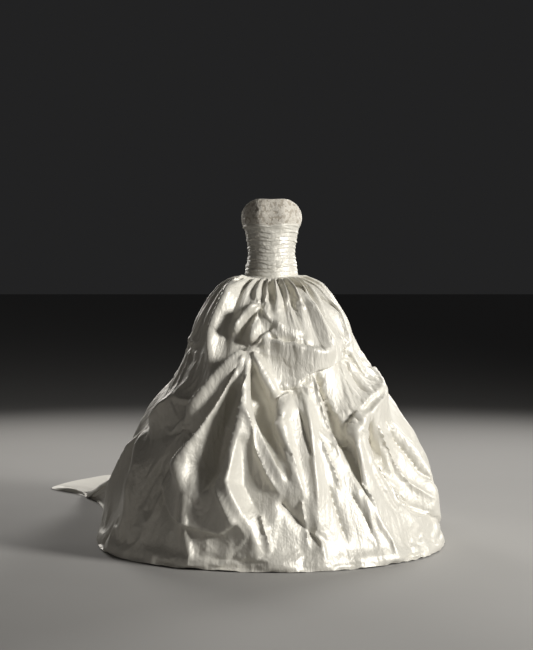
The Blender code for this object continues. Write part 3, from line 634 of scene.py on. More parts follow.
# Folds, as lines over the skirt: each point an angle and the length of cloth down from the waist seam. A fold
# stands out from the smooth skirt, or lies in where it is less than nothing, and fades over its width.
Fold = namedtuple("Fold", "out width path")
FOLDS = (
    # Out of the main pick-up at the centre front.
    Fold(0.051, 0.052, ((-14, 0.42), (-28, 0.57), (-41, 0.78))),
    Fold(0.057, 0.052, ((-14, 0.43), (-22, 0.62), (-35, 0.92), (-30, 1.03))),
    Fold(0.072, 0.048, ((-13, 0.44), (-11, 0.65), (-15, 0.98), (-5, 1.22))),
    Fold(0.038, 0.041, ((-11, 0.42), (2, 0.62))),
    Fold(0.044, 0.046, ((-9, 0.63), (-1, 0.84), (6, 1.02))),
    Fold(-0.057, 0.046, ((-9, 0.52), (-3, 0.65), (7, 0.90))),
    # From the waist down the right front.
    Fold(0.040, 0.039, ((-44, 0.06), (-38, 0.18), (-42, 0.33), (-35, 0.53))),
    Fold(0.038, 0.036, ((-10, 0.20), (-19, 0.26), (-29, 0.36))),
    Fold(0.028, 0.029, ((-9, 0.28), (-13, 0.37))),
    Fold(0.030, 0.032, ((-10, 0.21), (0, 0.29), (22, 0.35))),
    # Over the pouch between the two front pick-ups, round the second one, and the swags to its left.
    Fold(0.032, 0.034, ((-3, 0.36), (12, 0.375), (30, 0.40), (42, 0.41))),
    Fold(0.038, 0.039, ((10, 0.61), (3, 0.70), (6, 0.86), (9, 1.02))),
    Fold(0.027, 0.034, ((17, 0.62), (16, 0.87), (15, 1.14))),
    Fold(-0.038, 0.037, ((29, 0.54), (33, 0.88), (36, 1.06))),
    Fold(0.057, 0.044, ((89, 0.53), (67, 0.63), (43, 0.74), (35, 0.84), (36, 1.06))),
    Fold(-0.044, 0.046, ((49, 0.71), (51, 0.94), (60, 1.20))),
    Fold(0.034, 0.040, ((30, 0.14), (38, 0.30), (44, 0.42))),
    Fold(0.030, 0.040, ((56, 0.16), (62, 0.30), (60, 0.44))),
    Fold(0.038, 0.057, ((70, 0.80), (74, 1.00), (72, 1.22))),
    # The right side, below its puff.
    Fold(0.044, 0.052, ((-74, 0.78), (-62, 0.96), (-58, 1.16))),
    Fold(0.040, 0.052, ((-78, 0.80), (-88, 1.00), (-96, 1.22))),
    Fold(-0.034, 0.052, ((-50, 0.86), (-48, 1.20))),
    Fold(0.038, 0.046, ((-56, 0.62), (-66, 0.74), (-74, 0.76))),
    # Across the back, down to the train.
    Fold(0.051, 0.063, ((112, 0.56), (120, 0.84), (124, 1.20))),
    Fold(0.044, 0.063, ((110, 0.60), (100, 0.84), (97, 1.15))),
    Fold(0.057, 0.069, ((152, 0.46), (142, 0.80), (140, 1.30), (142, 1.60))),
    Fold(0.061, 0.069, ((154, 0.46), (166, 0.84), (172, 1.40), (174, 2.00))),
    Fold(0.061, 0.069, ((-156, 0.50), (-164, 0.86), (-168, 1.50), (-170, 2.10))),
    Fold(0.055, 0.069, ((-154, 0.50), (-146, 0.86), (-142, 1.40), (-140, 2.10))),
    Fold(0.044, 0.063, ((-116, 0.58), (-124, 0.86), (-128, 1.40), (-130, 1.90))),
    Fold(0.040, 0.063, ((-114, 0.60), (-104, 0.86), (-106, 1.30))),
)

FOLD_SHARP = 2.2  # how quickly a fold falls away from its crest
FOLD_TAPERS, FOLD_END = 0.3, 0.35  # share of its length that each end tapers over, and its height there

# Places where the cloth is caught up to the skirt beneath.
PickUp = namedtuple("PickUp", "angle down deep reach")
PICK_UPS = (
    PickUp(-13.5, 0.405, 0.034, 0.052),
    PickUp(11.5, 0.590, 0.040, 0.050),
    PickUp(-10.0, 0.210, 0.022, 0.035),
    PickUp(16.0, 0.208, 0.020, 0.035),
    PickUp(50.0, 0.425, 0.034, 0.050),
    PickUp(37.0, 0.780, 0.020, 0.050),
    PickUp(76.0, 0.375, 0.022, 0.050),
    PickUp(90.0, 0.550, 0.026, 0.055),
    PickUp(-41.0, 0.790, 0.022, 0.050),
    PickUp(-75.0, 0.420, 0.026, 0.055),
    PickUp(-76.0, 0.770, 0.046, 0.065),
    PickUp(111.0, 0.540, 0.036, 0.060),
    PickUp(153.0, 0.430, 0.040, 0.060),
    PickUp(-155.0, 0.470, 0.040, 0.060),
    PickUp(-115.0, 0.560, 0.036, 0.060),
    PickUp(-178.0, 0.800, 0.034, 0.070),
)

# Puffs that swell and droop over the pick-ups.
Puff = namedtuple("Puff", "angle down across tall out droop")
PUFFS = (
    Puff(27, 0.400, 0.120, 0.080, 0.050, 0.036),
    Puff(-25, 1.060, 0.150, 0.130, 0.040, 0.020),
    Puff(70, 0.300, 0.120, 0.060, 0.012, 0.010),
    Puff(84, 0.455, 0.140, 0.060, 0.034, 0.018),
    Puff(78, 0.660, 0.150, 0.075, 0.022, 0.012),
    Puff(88, 0.860, 0.190, 0.060, 0.026, 0.016),
    Puff(86, 1.040, 0.260, 0.140, 0.026, 0.000),
    Puff(-78, 0.300, 0.130, 0.080, 0.010, 0.012),
    Puff(-78, 0.660, 0.150, 0.080, 0.018, 0.020),
    Puff(-52, 0.600, 0.110, 0.090, 0.014, 0.012),
    Puff(128, 0.440, 0.160, 0.085, 0.036, 0.024),
    Puff(178, 0.420, 0.170, 0.090, 0.040, 0.026),
    Puff(-132, 0.450, 0.170, 0.085, 0.036, 0.024),
    Puff(160, 0.720, 0.200, 0.110, 0.032, 0.024),
    Puff(-150, 0.760, 0.200, 0.110, 0.032, 0.024),
)

DROOP_BEGINS = (0.02, 0.20)  # how far down the cloth starts to droop, and does so fully

GATHERS = 28
GATHER_SIZES = (1.0, 0.7, 1.2, 0.85, 1.1, 0.6, 0.95)
GATHER_OUT, GATHER_STARTS, GATHER_FADES = 0.012, 0.02, 0.26
HEM_FLUTES = ((11, 0.011, 0.4), (17, 0.008, 1.9), (26, 0.005, 0.7))  # waves round, height, start
HEM_FLUTES_FROM = 0.95
FRONT_CLOSER = 0.20  # how much closer the gathers lie at the front
SEAM_ROWS = 0.04  # share of the rows over which the cloth stands away from the waist seam

DROPS = column(SKIRT, "drop")
FULL_DROP = DROPS[-1]
FINE_DROPS = np.linspace(0, 1, DROP_STEPS) ** DROPS_CLOSER * FULL_DROP
FINE_HALF_WIDTHS = curve(FINE_DROPS, DROPS, column(SKIRT, "half_width"))
DOWN_AT_DROP = np.concatenate([[0], np.cumsum(np.hypot(np.diff(FINE_DROPS), np.diff(FINE_HALF_WIDTHS)))])
TO_FLOOR = DOWN_AT_DROP[-1]  # length of cloth from the waist seam to the floor


def skirt_angle(gather):
    """Angle in degrees from the centre front, at a count of gathers round from the centre back."""
    even = 2 * math.pi * gather / GATHERS - math.pi
    return np.degrees(even - FRONT_CLOSER * np.sin(even))


def hoop_point(angle, down):
    """Point of the flared skirt, as an offset from the middle of the waist seam."""
    theta = np.radians(angle)
    drop = np.interp(down, DOWN_AT_DROP, FINE_DROPS)
    half_width = np.interp(down, DOWN_AT_DROP, FINE_HALF_WIDTHS)
    front = np.interp(drop, DROPS, column(SKIRT, "front"))
    back = np.interp(drop, DROPS, column(SKIRT, "back"))
    depth = back + (front - back) * ease(np.cos(theta), -1, 1)
    return np.stack([half_width * np.sin(theta), -half_width * depth * np.cos(theta), -drop], -1)


def cone_point(angle, down):
    """The flared skirt, hung from the waist seam and reaching the floor all round."""
    seam = edge("waist", angle)
    at_waist = bodice_point(angle, seam)
    flare = hoop_point(angle, down) - hoop_point(angle, 0 * down)
    flare[..., 2] *= (seam - LOWEST) / FULL_DROP
    return at_waist + flare


def train_reach(angle):
    """How far the train's hem lies beyond the flared skirt's, as a vector over the floor."""
    places = column(TRAIN, "angle")
    hem = cone_point(places, np.full(len(places), TO_FLOOR))
    (right, right_side), (left, left_whole) = TRAIN_BEGINS
    round_back = np.where(angle > left + 360, angle - 360, angle)
    x = curve(round_back, places, column(TRAIN, "x") - hem[:, 0])
    y = curve(round_back, places, column(TRAIN, "y") - hem[:, 1])
    inside = ease(round_back, left, left_whole) * (1 - ease(round_back, right, right_side))
    return np.stack([x * inside, y * inside], -1)


def smooth_skirt(angle, share):
    """The skirt with no folds, at a share of the way from waist to hem, and the length of cloth down to it."""
    trail = train_reach(angle)
    length = np.linalg.norm(trail, axis=-1)
    falls = 1 / (1 + TRAIN_ROWS * length)  # the share of the rows above the floor
    down = np.where(
        share < falls,
        share / falls * TO_FLOOR,
        TO_FLOOR + (share - falls) / np.maximum(1 - falls, 1e-6) * length,
    )
    sweep = np.minimum(TRAIN_SWEEP, length)
    rest = np.maximum(length - sweep, 0)
    straighter = 1 - TRAIN_BACK_FIRST * rest / np.maximum(length, 1e-6)
    along = unit(np.stack([trail[..., 0] * straighter, trail[..., 1], 0 * length], -1))
    leaves = cone_point(angle, TO_FLOOR - sweep)
    foot = cone_point(angle, np.full_like(down, TO_FLOOR))
    lands = foot + along * sweep[..., None]
    hem = foot + np.stack([trail[..., 0], trail[..., 1], 0 * length], -1)
    bend = lands + along * rest[..., None] / 2
    t = np.clip((down - TO_FLOOR + sweep) / np.maximum(2 * sweep, 1e-6), 0, 1)[..., None]
    v = np.clip((down - TO_FLOOR - sweep) / np.maximum(rest, 1e-6), 0, 1)[..., None]
    hangs = cone_point(angle, np.minimum(down, TO_FLOOR))
    bears = foot + ((leaves + lands) / 2 - foot) * TRAIN_BORNE
    swept = (1 - t) ** 2 * leaves + 2 * t * (1 - t) * bears + t**2 * lands
    lies = (1 - v) ** 2 * lands + 2 * v * (1 - v) * bend + v**2 * hem
    past = (down - TO_FLOOR)[..., None]
    return np.where(past < -sweep[..., None], hangs, np.where(past > sweep[..., None], lies, swept)), down


def turned(angle, centre):
    """Difference of two angles, the short way round."""
    return (angle - centre + 180) % 360 - 180


def near_line(path, angle, down, spread):
    """Distance over the cloth to a line of (angle, down) points, the share of it passed there, and the side.

    The side is 1 above a line drawn from left to right, and -1 below it.
    """
    middle = path[len(path) // 2][0]
    angle = middle + turned(angle, middle)
    nearest = np.full(angle.shape, np.inf)
    passed, side = np.zeros(angle.shape), np.zeros(angle.shape)
    for step, ((angle_a, down_a), (angle_b, down_b)) in enumerate(zip(path, path[1:])):
        across = np.radians(angle - angle_a) * spread
        step_across = math.radians(angle_b - angle_a) * spread
        step_down = down_b - down_a
        t = (across * step_across + (down - down_a) * step_down) / (step_across**2 + step_down**2)
        t = np.clip(t, 0, 1)
        away = np.hypot(across - t * step_across, down - down_a - t * step_down)
        here = away < nearest
        passed = np.where(here, (step + t) / (len(path) - 1), passed)
        side = np.where(here, np.sign(step_down * across - step_across * (down - down_a)), side)
        nearest = np.minimum(nearest, away)
    return nearest, passed, side


def puff_swell(puff, angle, down, spread):
    """How fully a puff swells at each place."""
    x = np.radians(turned(angle, puff.angle)) * spread / puff.across
    return np.exp(-(x**2) - ((down - puff.down) / puff.tall) ** 2)


def relief(gather, angle, down, spread):
    """How far the cloth stands out from the smooth skirt, and how far it droops."""
    size = curve(gather % len(GATHER_SIZES), np.arange(8.0), np.array(GATHER_SIZES + GATHER_SIZES[:1]))
    gathered = bell(down / GATHER_FADES) - bell(down / GATHER_STARTS)
    out = -GATHER_OUT * size * gathered * np.cos(2 * math.pi * gather)
    droop = np.zeros_like(out)
    for waves, height, start in HEM_FLUTES:
        grows = ease(down, HEM_FLUTES_FROM, TO_FLOOR)
        out += height * grows * np.sin(waves * np.radians(angle) + start)
    for puff in PUFFS:
        swell = puff_swell(puff, angle, down, spread)
        out += puff.out * swell
        droop += puff.droop * swell
    for fold in FOLDS:
        near, passed, _ = near_line(fold.path, angle, down, spread)
        tapers = ease(passed, 0, FOLD_TAPERS) * (1 - ease(passed, 1 - FOLD_TAPERS, 1))
        tapers = FOLD_END + (1 - FOLD_END) * tapers
        out += fold.out * tapers * np.exp(1 - np.sqrt(1 + (FOLD_SHARP * near / fold.width) ** 2))
    for pick_up in PICK_UPS:
        x = np.radians(turned(angle, pick_up.angle)) * spread
        near = np.hypot(x, down - pick_up.down) / pick_up.reach
        out -= pick_up.deep * bell(near)
    return out, droop * ease(down, *DROOP_BEGINS)


def skirt_point(gather, share):
    """Point in the middle of the skirt's wall."""
    angle = skirt_angle(gather)
    point, down = smooth_skirt(angle, share)
    beside, _ = smooth_skirt(skirt_angle(gather + 0.01), share)
    below, _ = smooth_skirt(angle, share + 0.001)
    per_angle = np.radians(skirt_angle(gather + 0.01) - angle)
    spread = np.linalg.norm(beside - point, axis=-1) / per_angle
    outward = unit(np.cross(below - point, beside - point))
    out, droop = relief(gather, angle, down, spread)
    out *= ease(share, 0, SEAM_ROWS)
    point = point + outward * out[..., None]
    point[..., 2] -= droop
    point[..., 2] = np.maximum(point[..., 2], LOWEST)
    return point


# The nine gores, from the centre back round by the right, each with the flat size and area that it is cut to.
Gore = namedtuple("Gore", "name first_gather gathers wide long area")
GORES = (
    Gore("skirt_train_right", 0, 3, 0.93, 2.70, 1.67),
    Gore("skirt_back_side_right", 3, 3, 0.55, 2.50, 0.91),
    Gore("skirt_side_right", 6, 3, 0.48, 1.40, 0.44),
    Gore("skirt_front_side_right", 9, 3, 0.53, 1.40, 0.49),
    Gore("skirt_front", 12, 4, 0.75, 1.45, 0.69),
    Gore("skirt_front_side_left", 16, 3, 0.51, 1.40, 0.47),
    Gore("skirt_side_left", 19, 3, 0.51, 1.42, 0.47),
    Gore("skirt_back_side_left", 22, 3, 0.55, 1.70, 0.62),
    Gore("skirt_train_left", 25, 3, 0.71, 2.60, 1.23),
)

# The drape. The cloth is held in its place by a share: fully at the waist seam, tightly where it is caught up,
# and half where it is pulled into folds or meets the floor. Between these it settles, with slack in its puffs.
DRAPE_COLUMNS, DRAPE_ROWS, FINER = 280, 120, 2
ROWS_EVEN = 1.12  # how much closer the rows of the sheet lie at the waist
FRAMES = 18
HOLD_FREE, HOLD_TOP, HOLD_FOLDS, HOLD_HEM = 0.10, 0.45, 0.50, 0.45
SEAM_DEEP, TOP_DEEP, HEM_DEEP = 0.06, 0.28, 0.12
HIP_RADIUS, HEM_WIDENS, WIDENS_DOWN = 0.35, 0.35, (0.3, 1.2)  # the last is how far down the cloth
TACK_HOLD, TACK_WIDE = 1.6, 0.022
SLACK_MOST, SLACK_STARTS, SLACK_ENDS = 0.08, (0.2, 0.42), (0.85, 1.15)
WEIGHT, PIN, BENDING = 0.9, 0.3, 0.1
SETTLE_BACK, SMOOTHED = 0.85, (9, 8)  # how much of the wide movement is taken back, to keep the outline

gathers = np.arange(DRAPE_COLUMNS) * GATHERS / DRAPE_COLUMNS
shares = np.linspace(0, 1, DRAPE_ROWS) ** ROWS_EVEN
gather, share = np.meshgrid(gathers, shares, indexing="ij")
hung = skirt_point(gather, share)


def cloth_radius(down):
    """Roughly how far the cloth is from the gown's axis, which turns an angle into metres across it."""
    return HIP_RADIUS + HEM_WIDENS * ease(down, *WIDENS_DOWN)


def smoothed(values, across, along):
    """The grid's values with everything narrower than so many columns and rows evened out."""
    rows = values.shape[1]
    for _ in range(3):
        total = sum(np.roll(values, step, axis=0) for step in range(-across, across + 1))
        padded = np.pad(total / (2 * across + 1), ((0, 0), (along, along), (0, 0)), mode="edge")
        values = sum(padded[:, step : step + rows] for step in range(2 * along + 1)) / (2 * along + 1)
    return values


def held_and_slack(angle, down):
    """How firmly each point is held to its place, and how much slack the cloth has there."""
    spread = cloth_radius(down)
    hold = HOLD_FREE + (1 - HOLD_FREE) * bell(down / SEAM_DEEP) + HOLD_TOP * bell(down / TOP_DEEP)
    taut = np.zeros(angle.shape)
    for tack in PICK_UPS:
        across = np.radians(turned(angle, tack.angle)) * spread
        hold = np.maximum(hold, TACK_HOLD * bell(np.hypot(across, down - tack.down) / TACK_WIDE))
    for fold in FOLDS:
        near, _, _ = near_line(fold.path, angle, down, spread)
        taut = np.maximum(taut, bell(near / fold.width))
        hold = np.maximum(hold, HOLD_FOLDS * bell(near / fold.width * 1.8))
    hold = np.maximum(hold, HOLD_HEM * ease(down, TO_FLOOR - HEM_DEEP, TO_FLOOR))
    swell = sum(puff_swell(puff, angle, down, spread) for puff in PUFFS)
    slack = np.minimum(swell, 1) * (1 - taut) * ease(down, *SLACK_STARTS) * (1 - ease(down, *SLACK_ENDS))
    return hold, slack


def draped(points, hold, slack):
    """Lets the taffeta settle between its tacks under its own weight."""
    mesh = bpy.data.meshes.new("drape")
    mesh.from_pydata(points.reshape(-1, 3).tolist(), [], grid_faces(*points.shape[:2], closed=True).tolist())
    cloth = put("drape", mesh)
    for name, weights in (("hold", hold), ("tight", 1 - slack)):
        group = cloth.vertex_groups.new(name=name)
        for number, weight in enumerate(np.clip(weights, 0, 1).reshape(-1).tolist()):
            group.add([number], weight, "REPLACE")
    settle = cloth.modifiers.new("settle", "CLOTH")
    settings = settle.settings
    settings.quality = 5
    settings.mass = 0.25
    settings.air_damping = 4
    settings.tension_stiffness = settings.compression_stiffness = 20
    settings.shear_stiffness = 8
    settings.bending_stiffness = BENDING
    settings.vertex_group_mass = "hold"
    settings.pin_stiffness = PIN
    settings.vertex_group_shrink = "tight"
    settings.shrink_min, settings.shrink_max = -SLACK_MOST, 0
    settings.effector_weights.gravity = WEIGHT
    settle.collision_settings.use_collision = False
    settle.point_cache.frame_end = FRAMES
    for step in range(1, FRAMES + 1):
        bpy.context.scene.frame_set(step)
    settled = cloth.evaluated_get(bpy.context.evaluated_depsgraph_get()).to_mesh()
    flat = np.empty(points.size, np.float32)
    settled.vertices.foreach_get("co", flat)
    bpy.data.objects.remove(cloth)
    bpy.context.scene.frame_set(1)
    moved = flat.reshape(points.shape).astype(float) - points
    result = points + moved - SETTLE_BACK * smoothed(moved, *SMOOTHED)
    result[..., 2] = np.maximum(result[..., 2], LOWEST)
    return result


def finer(points, times, closed):
    """The grid with more columns, on smooth curves through its own."""
    count = len(points)
    at = np.arange((count if closed else count - 1) * times + (0 if closed else 1)) / times
    whole = np.floor(at).astype(int)
    t = (at - whole).reshape(-1, *[1] * (points.ndim - 1))
    pick = (lambda i: points[i % count]) if closed else (lambda i: points[np.clip(i, 0, count - 1)])
    before, here, after, beyond = (pick(whole + k) for k in (-1, 0, 1, 2))
    return 0.5 * (2 * here + (after - before) * t + (2 * before - 5 * here + 4 * after - beyond) * t**2
                  + (3 * here - before - 3 * after + beyond) * t**3)


angle = skirt_angle(gather)
hung = draped(hung, *held_and_slack(angle, smooth_skirt(angle, share)[1]))
skirt_grid = finer(hung, FINER, True)
skirt_grid = finer(skirt_grid.swapaxes(0, 1), FINER, False).swapaxes(0, 1)
fine_share = np.linspace(0, 1, skirt_grid.shape[1])
fine_share = np.interp(fine_share, np.linspace(0, 1, DRAPE_ROWS), shares)
gather, share = np.meshgrid(np.arange(len(skirt_grid)) * GATHERS / len(skirt_grid), fine_share, indexing="ij")
angle = skirt_angle(gather)
down = smooth_skirt(angle, share)[1]
spread = cloth_radius(down)

# Where one fold laps over the cloth beside it, as lines of (angle, down). The cloth above a line drawn from
# left to right stands over the cloth below it, by out, and slides over it.
Lap = namedtuple("Lap", "out width over path")
LAPS = (
    Lap(0.030, 0.060, 0.018, ((12, 0.57), (19, 0.50), (27, 0.46), (37, 0.455), (47, 0.42), (62, 0.37))),
    Lap(0.022, 0.040, 0.008, ((3, 0.31), (-4, 0.335), (-13, 0.40))),
    Lap(0.012, 0.036, 0.006, ((-10, 0.215), (0, 0.28), (14, 0.315), (24, 0.33))),
    Lap(0.026, 0.060, 0.012, ((43, 0.70), (53, 0.65), (67, 0.61), (77, 0.56), (89, 0.51))),
    Lap(0.026, 0.050, 0.012, ((45, 0.69), (37, 0.75), (35, 0.80), (36, 1.00), (40, 1.14))),
    Lap(0.026, 0.045, 0.012, ((11, 0.58), (4, 0.62), (3, 0.70), (6, 0.82), (10, 1.00))),
    Lap(0.022, 0.060, 0.010, ((49, 0.68), (51, 0.88), (55, 1.07), (70, 1.18), (84, 1.25))),
    Lap(0.030, 0.110, 0.030, ((-48, 0.96), (-40, 1.05), (-30, 1.13), (-16, 1.16), (-9, 1.10))),
    Lap(0.008, 0.040, 0.003, ((17, 0.60), (16, 0.84), (15, 1.10))),
)
LAP_SIZE, LAP_EDGE, LAP_SHADOW, LAP_SHADOW_WIDE = 0.6, 0.14, 0.35, 0.3
LAP_STARTS, LAP_ENDS, LAP_SLIDES_WIDE, LAP_RADIUS = (0, 0.15), (0.85, 1), 0.5, 0.5

# The pulled folds' own crests, and the deep hollows between them, where out is less than nothing.
Crease = namedtuple("Crease", "out width path")
CREASES = (
    Crease(0.024, 0.011, ((-14, 0.42), (-28, 0.57), (-42, 0.77))),
    Crease(-0.024, 0.014, ((-15, 0.47), (-25, 0.64), (-39, 0.88))),
    Crease(0.020, 0.017, ((-14, 0.43), (-20, 0.58), (-28, 0.75), (-36, 0.92), (-31, 1.04))),
    Crease(-0.036, 0.045, ((-15, 0.55), (-21, 0.78), (-24, 1.02))),
    Crease(0.023, 0.016, ((-13, 0.45), (-12, 0.66), (-15, 0.86), (-18, 0.99), (-11, 1.13), (-6, 1.23))),
    Crease(-0.018, 0.035, ((-11, 0.78), (-9, 0.98), (-3, 1.12))),
    Crease(0.022, 0.018, ((-12, 0.66), (-7, 0.80), (-1, 0.94), (4, 1.04))),
    Crease(-0.034, 0.020, ((-11, 0.46), (-6, 0.62), (-1, 0.80), (7, 1.00))),
    Crease(0.018, 0.022, ((-12, 0.42), (-4, 0.54), (3, 0.62))),
    Crease(0.020, 0.018, ((5, 0.66), (3, 0.76), (7, 0.92), (13, 1.10))),
    Crease(-0.028, 0.032, ((2, 1.04), (10, 1.14), (16, 1.25))),
    Crease(0.020, 0.014, ((-44, 0.06), (-38, 0.18), (-42, 0.33), (-36, 0.53))),
    Crease(-0.008, 0.018, ((-15, 0.22), (-26, 0.29), (-34, 0.40))),
    Crease(0.019, 0.012, ((-10, 0.20), (-19, 0.26), (-29, 0.36))),
    Crease(-0.018, 0.016, ((-10, 0.24), (-17, 0.30), (-23, 0.38))),
    Crease(0.014, 0.010, ((-10, 0.24), (-14, 0.385))),
    Crease(-0.022, 0.010, ((17, 0.03), (19, 0.12), (20, 0.22))),
    Crease(-0.016, 0.009, ((31, 0.03), (37, 0.16), (45, 0.30))),
    Crease(-0.014, 0.009, ((42, 0.02), (52, 0.14), (60, 0.28))),
    Crease(-0.014, 0.009, ((-2, 0.03), (0, 0.12), (2, 0.20))),
    Crease(-0.020, 0.010, ((-2, 0.345), (14, 0.35), (34, 0.375))),
    Crease(-0.034, 0.018, ((27, 0.49), (29, 0.60), (31, 0.74), (34, 0.92), (40, 1.12))),
    Crease(0.014, 0.010, ((25, 0.50), (26, 0.62), (28, 0.76), (30, 0.92))),
    Crease(-0.032, 0.020, ((50, 0.72), (52, 0.86), (54, 0.98), (60, 1.10), (78, 1.24))),
    Crease(0.018, 0.012, ((54, 0.74), (57, 0.90), (62, 1.02), (74, 1.16))),
    Crease(-0.016, 0.010, ((62, 0.72), (66, 0.86), (70, 1.00), (80, 1.14))),
    Crease(-0.014, 0.010, ((13, 0.66), (14, 0.78), (16, 0.90))),
    Crease(0.012, 0.009, ((20, 0.78), (24, 0.90), (27, 1.04))),
    Crease(-0.014, 0.010, ((22, 0.98), (24, 1.10), (26, 1.24))),
    Crease(-0.012, 0.010, ((30, 1.02), (33, 1.12), (36, 1.25))),
    Crease(0.014, 0.010, ((10, 1.04), (11, 1.14), (12, 1.26))),
    Crease(0.014, 0.010, ((-4, 1.10), (-2, 1.18), (0, 1.27))),
    Crease(-0.016, 0.010, ((57, 0.42), (62, 0.50), (66, 0.58))),
    Crease(-0.014, 0.010, ((54, 0.45), (55, 0.54), (55, 0.64))),
)
CREASE_SIZE, CREASE_POINT = 1.25, 0.45  # against its out, and the share of its width that it starts at
CREASE_STARTS, CREASE_ENDS, CREASE_WIDENS = (0, 0.12), (0.75, 1), (0, 0.4)
WAIST_CREASES, WAIST_CREASE_DEEP, WAIST_CREASE_LONG = GATHERS * 3, 0.016, (0.06, 0.30)
WAIST_CREASE_STRAYS, WAIST_CREASE_LEANS, WAIST_CREASE_WIDE = 0.15, 0.35, 0.10  # in gathers
STREAKS_ACROSS, STREAKS_DOWN, STREAK_OUT = (55, 120), (6.0, 11), 0.0014  # cells per metre, coarse and fine
PULLS, PULL_OUT, PULL_REACH = 11, 0.0040, 0.15  # small creases that run out from each tack
HEM_CRUMPLED, HEM_CRUMPLE = (0.22, 0.05), 0.004
PAST_SOLIDS = 0.012  # the most that the cloth may stand past the box of the solids


def lapped(angle, down, spread):
    """How far the laps raise the cloth, and how far they slide it across and down."""
    raised, slide = np.zeros(angle.shape), np.zeros((*angle.shape, 2))
    for lap in LAPS:
        near, passed, side = near_line(lap.path, angle, down, spread)
        signed = side * near
        whole = ease(passed, *LAP_STARTS) * (1 - ease(passed, *LAP_ENDS))
        upper = np.exp(-np.abs(signed) / lap.width)
        lower = bell(signed / (LAP_EDGE * lap.width))
        shadow = bell((signed + LAP_SHADOW_WIDE * lap.width) / (LAP_SHADOW_WIDE * lap.width))
        raised += LAP_SIZE * lap.out * whole * np.where(signed > 0, upper, lower)
        raised -= LAP_SIZE * LAP_SHADOW * lap.out * whole * np.where(signed > 0, 0, shadow)
        (first_angle, first_down), (last_angle, last_down) = lap.path[0], lap.path[-1]
        along = unit(np.array([math.radians(last_angle - first_angle) * LAP_RADIUS, last_down - first_down]))
        towards = np.array([-along[1], along[0]])
        slides = np.where(signed > 0, bell(signed / (LAP_SLIDES_WIDE * lap.width)), lower)
        slide += LAP_SIZE * lap.over * whole[..., None] * slides[..., None] * towards
    return raised, slide


def creased(angle, down, spread):
    """How far the drawn crests and hollows raise the cloth."""
    raised = 0
    for crease in CREASES:
        near, passed, side = near_line(crease.path, angle, down, spread)
        whole = ease(passed, *CREASE_STARTS) * (1 - ease(passed, *CREASE_ENDS))
        widens = CREASE_POINT + (1 - CREASE_POINT) * ease(passed, *CREASE_WIDENS)
        away = np.abs(side * near) / (crease.width * widens)
        raised = raised + CREASE_SIZE * crease.out * whole * np.exp(-away) * (1 - ease(away, 2.0, 5.0))
    return raised


def crinkled(gather, angle, down, spread):
    """The small wrinkles: streaks down the cloth, pulls out of the tacks, waist creases and a crumpled hem."""
    across = np.radians(angle) * spread
    streaks = np.maximum(crumple(across * STREAKS_ACROSS[0], down * STREAKS_DOWN[0], 5), -0.2)
    streaks = streaks + 0.5 * crumple(across * STREAKS_ACROSS[1] + 9, down * STREAKS_DOWN[1], 6)
    raised = STREAK_OUT * streaks * ease(down, 0.02, 0.3)
    for tack in PICK_UPS:
        x = np.radians(turned(angle, tack.angle)) * spread
        far = np.hypot(x, down - tack.down)
        turns = np.arctan2(x, down - tack.down) * PULLS / 2 / math.pi
        ray = 1 - np.abs(crumple(turns + 20, 0 * turns + tack.angle, 8)) * 2
        raised += PULL_OUT * ray * bell(far / PULL_REACH) * ease(far, 0, 0.04)
    chance = np.random.default_rng(14)
    for number in range(WAIST_CREASES):
        at = number * GATHERS / WAIST_CREASES + chance.uniform(-WAIST_CREASE_STRAYS, WAIST_CREASE_STRAYS)
        deep, long = chance.uniform(0.3, 1) ** 2, chance.uniform(*WAIST_CREASE_LONG)
        off = gather - at - WAIST_CREASE_LEANS * chance.uniform(-1, 1) * down / 0.3
        off = (off + GATHERS / 2) % GATHERS - GATHERS / 2
        crease = np.exp(-np.abs(off) / (WAIST_CREASE_WIDE * (1 + ease(down, 0, 0.3))))
        raised -= WAIST_CREASE_DEEP * deep * crease * bell(down / long) * ease(down, 0.004, 0.03)
    near_hem = ease(down, *(TO_FLOOR - height for height in HEM_CRUMPLED))
    return raised + near_hem * HEM_CRUMPLE * crumple(np.radians(angle) * 20, down * 9, 7)


normals = grid_normals(np.concatenate([skirt_grid[-3:], skirt_grid, skirt_grid[:3]]))[3:-3]
raised, slide = lapped(angle, down, spread)
raised = raised + creased(angle, down, spread) + crinkled(gather, angle, down, spread)
across_cloth = unit(np.roll(skirt_grid, -1, 0) - np.roll(skirt_grid, 1, 0))
down_cloth = unit(np.gradient(skirt_grid, axis=1))
skirt_grid = skirt_grid + normals * (raised * ease(down, 0, 0.03))[..., None]
skirt_grid = skirt_grid + across_cloth * slide[..., :1] + down_cloth * slide[..., 1:]
skirt_grid[..., 2] = np.maximum(skirt_grid[..., 2], LOWEST)
lowest, highest = (np.array(corner) for corner in cad_box)
skirt_grid = np.clip(skirt_grid, lowest - PAST_SOLIDS, highest + PAST_SOLIDS)

WEAVE_ROUND = 5.0  # metres of weave round the skirt
columns = len(skirt_grid)
downs = np.linspace(0, 1, skirt_grid.shape[1]) ** ROWS_EVEN * TO_FLOOR
weave = np.stack(np.meshgrid(np.arange(columns + 1) / columns * WEAVE_ROUND, -downs, indexing="ij"), -1)
per_gather = columns // GATHERS
for gore in GORES:
    first = gore.first_gather * per_gather
    picked = np.arange(first, first + gore.gathers * per_gather + 1)
    panel = sew(gore.name, skirt_grid[picked % columns], weave[picked], taffeta, CLOTH)

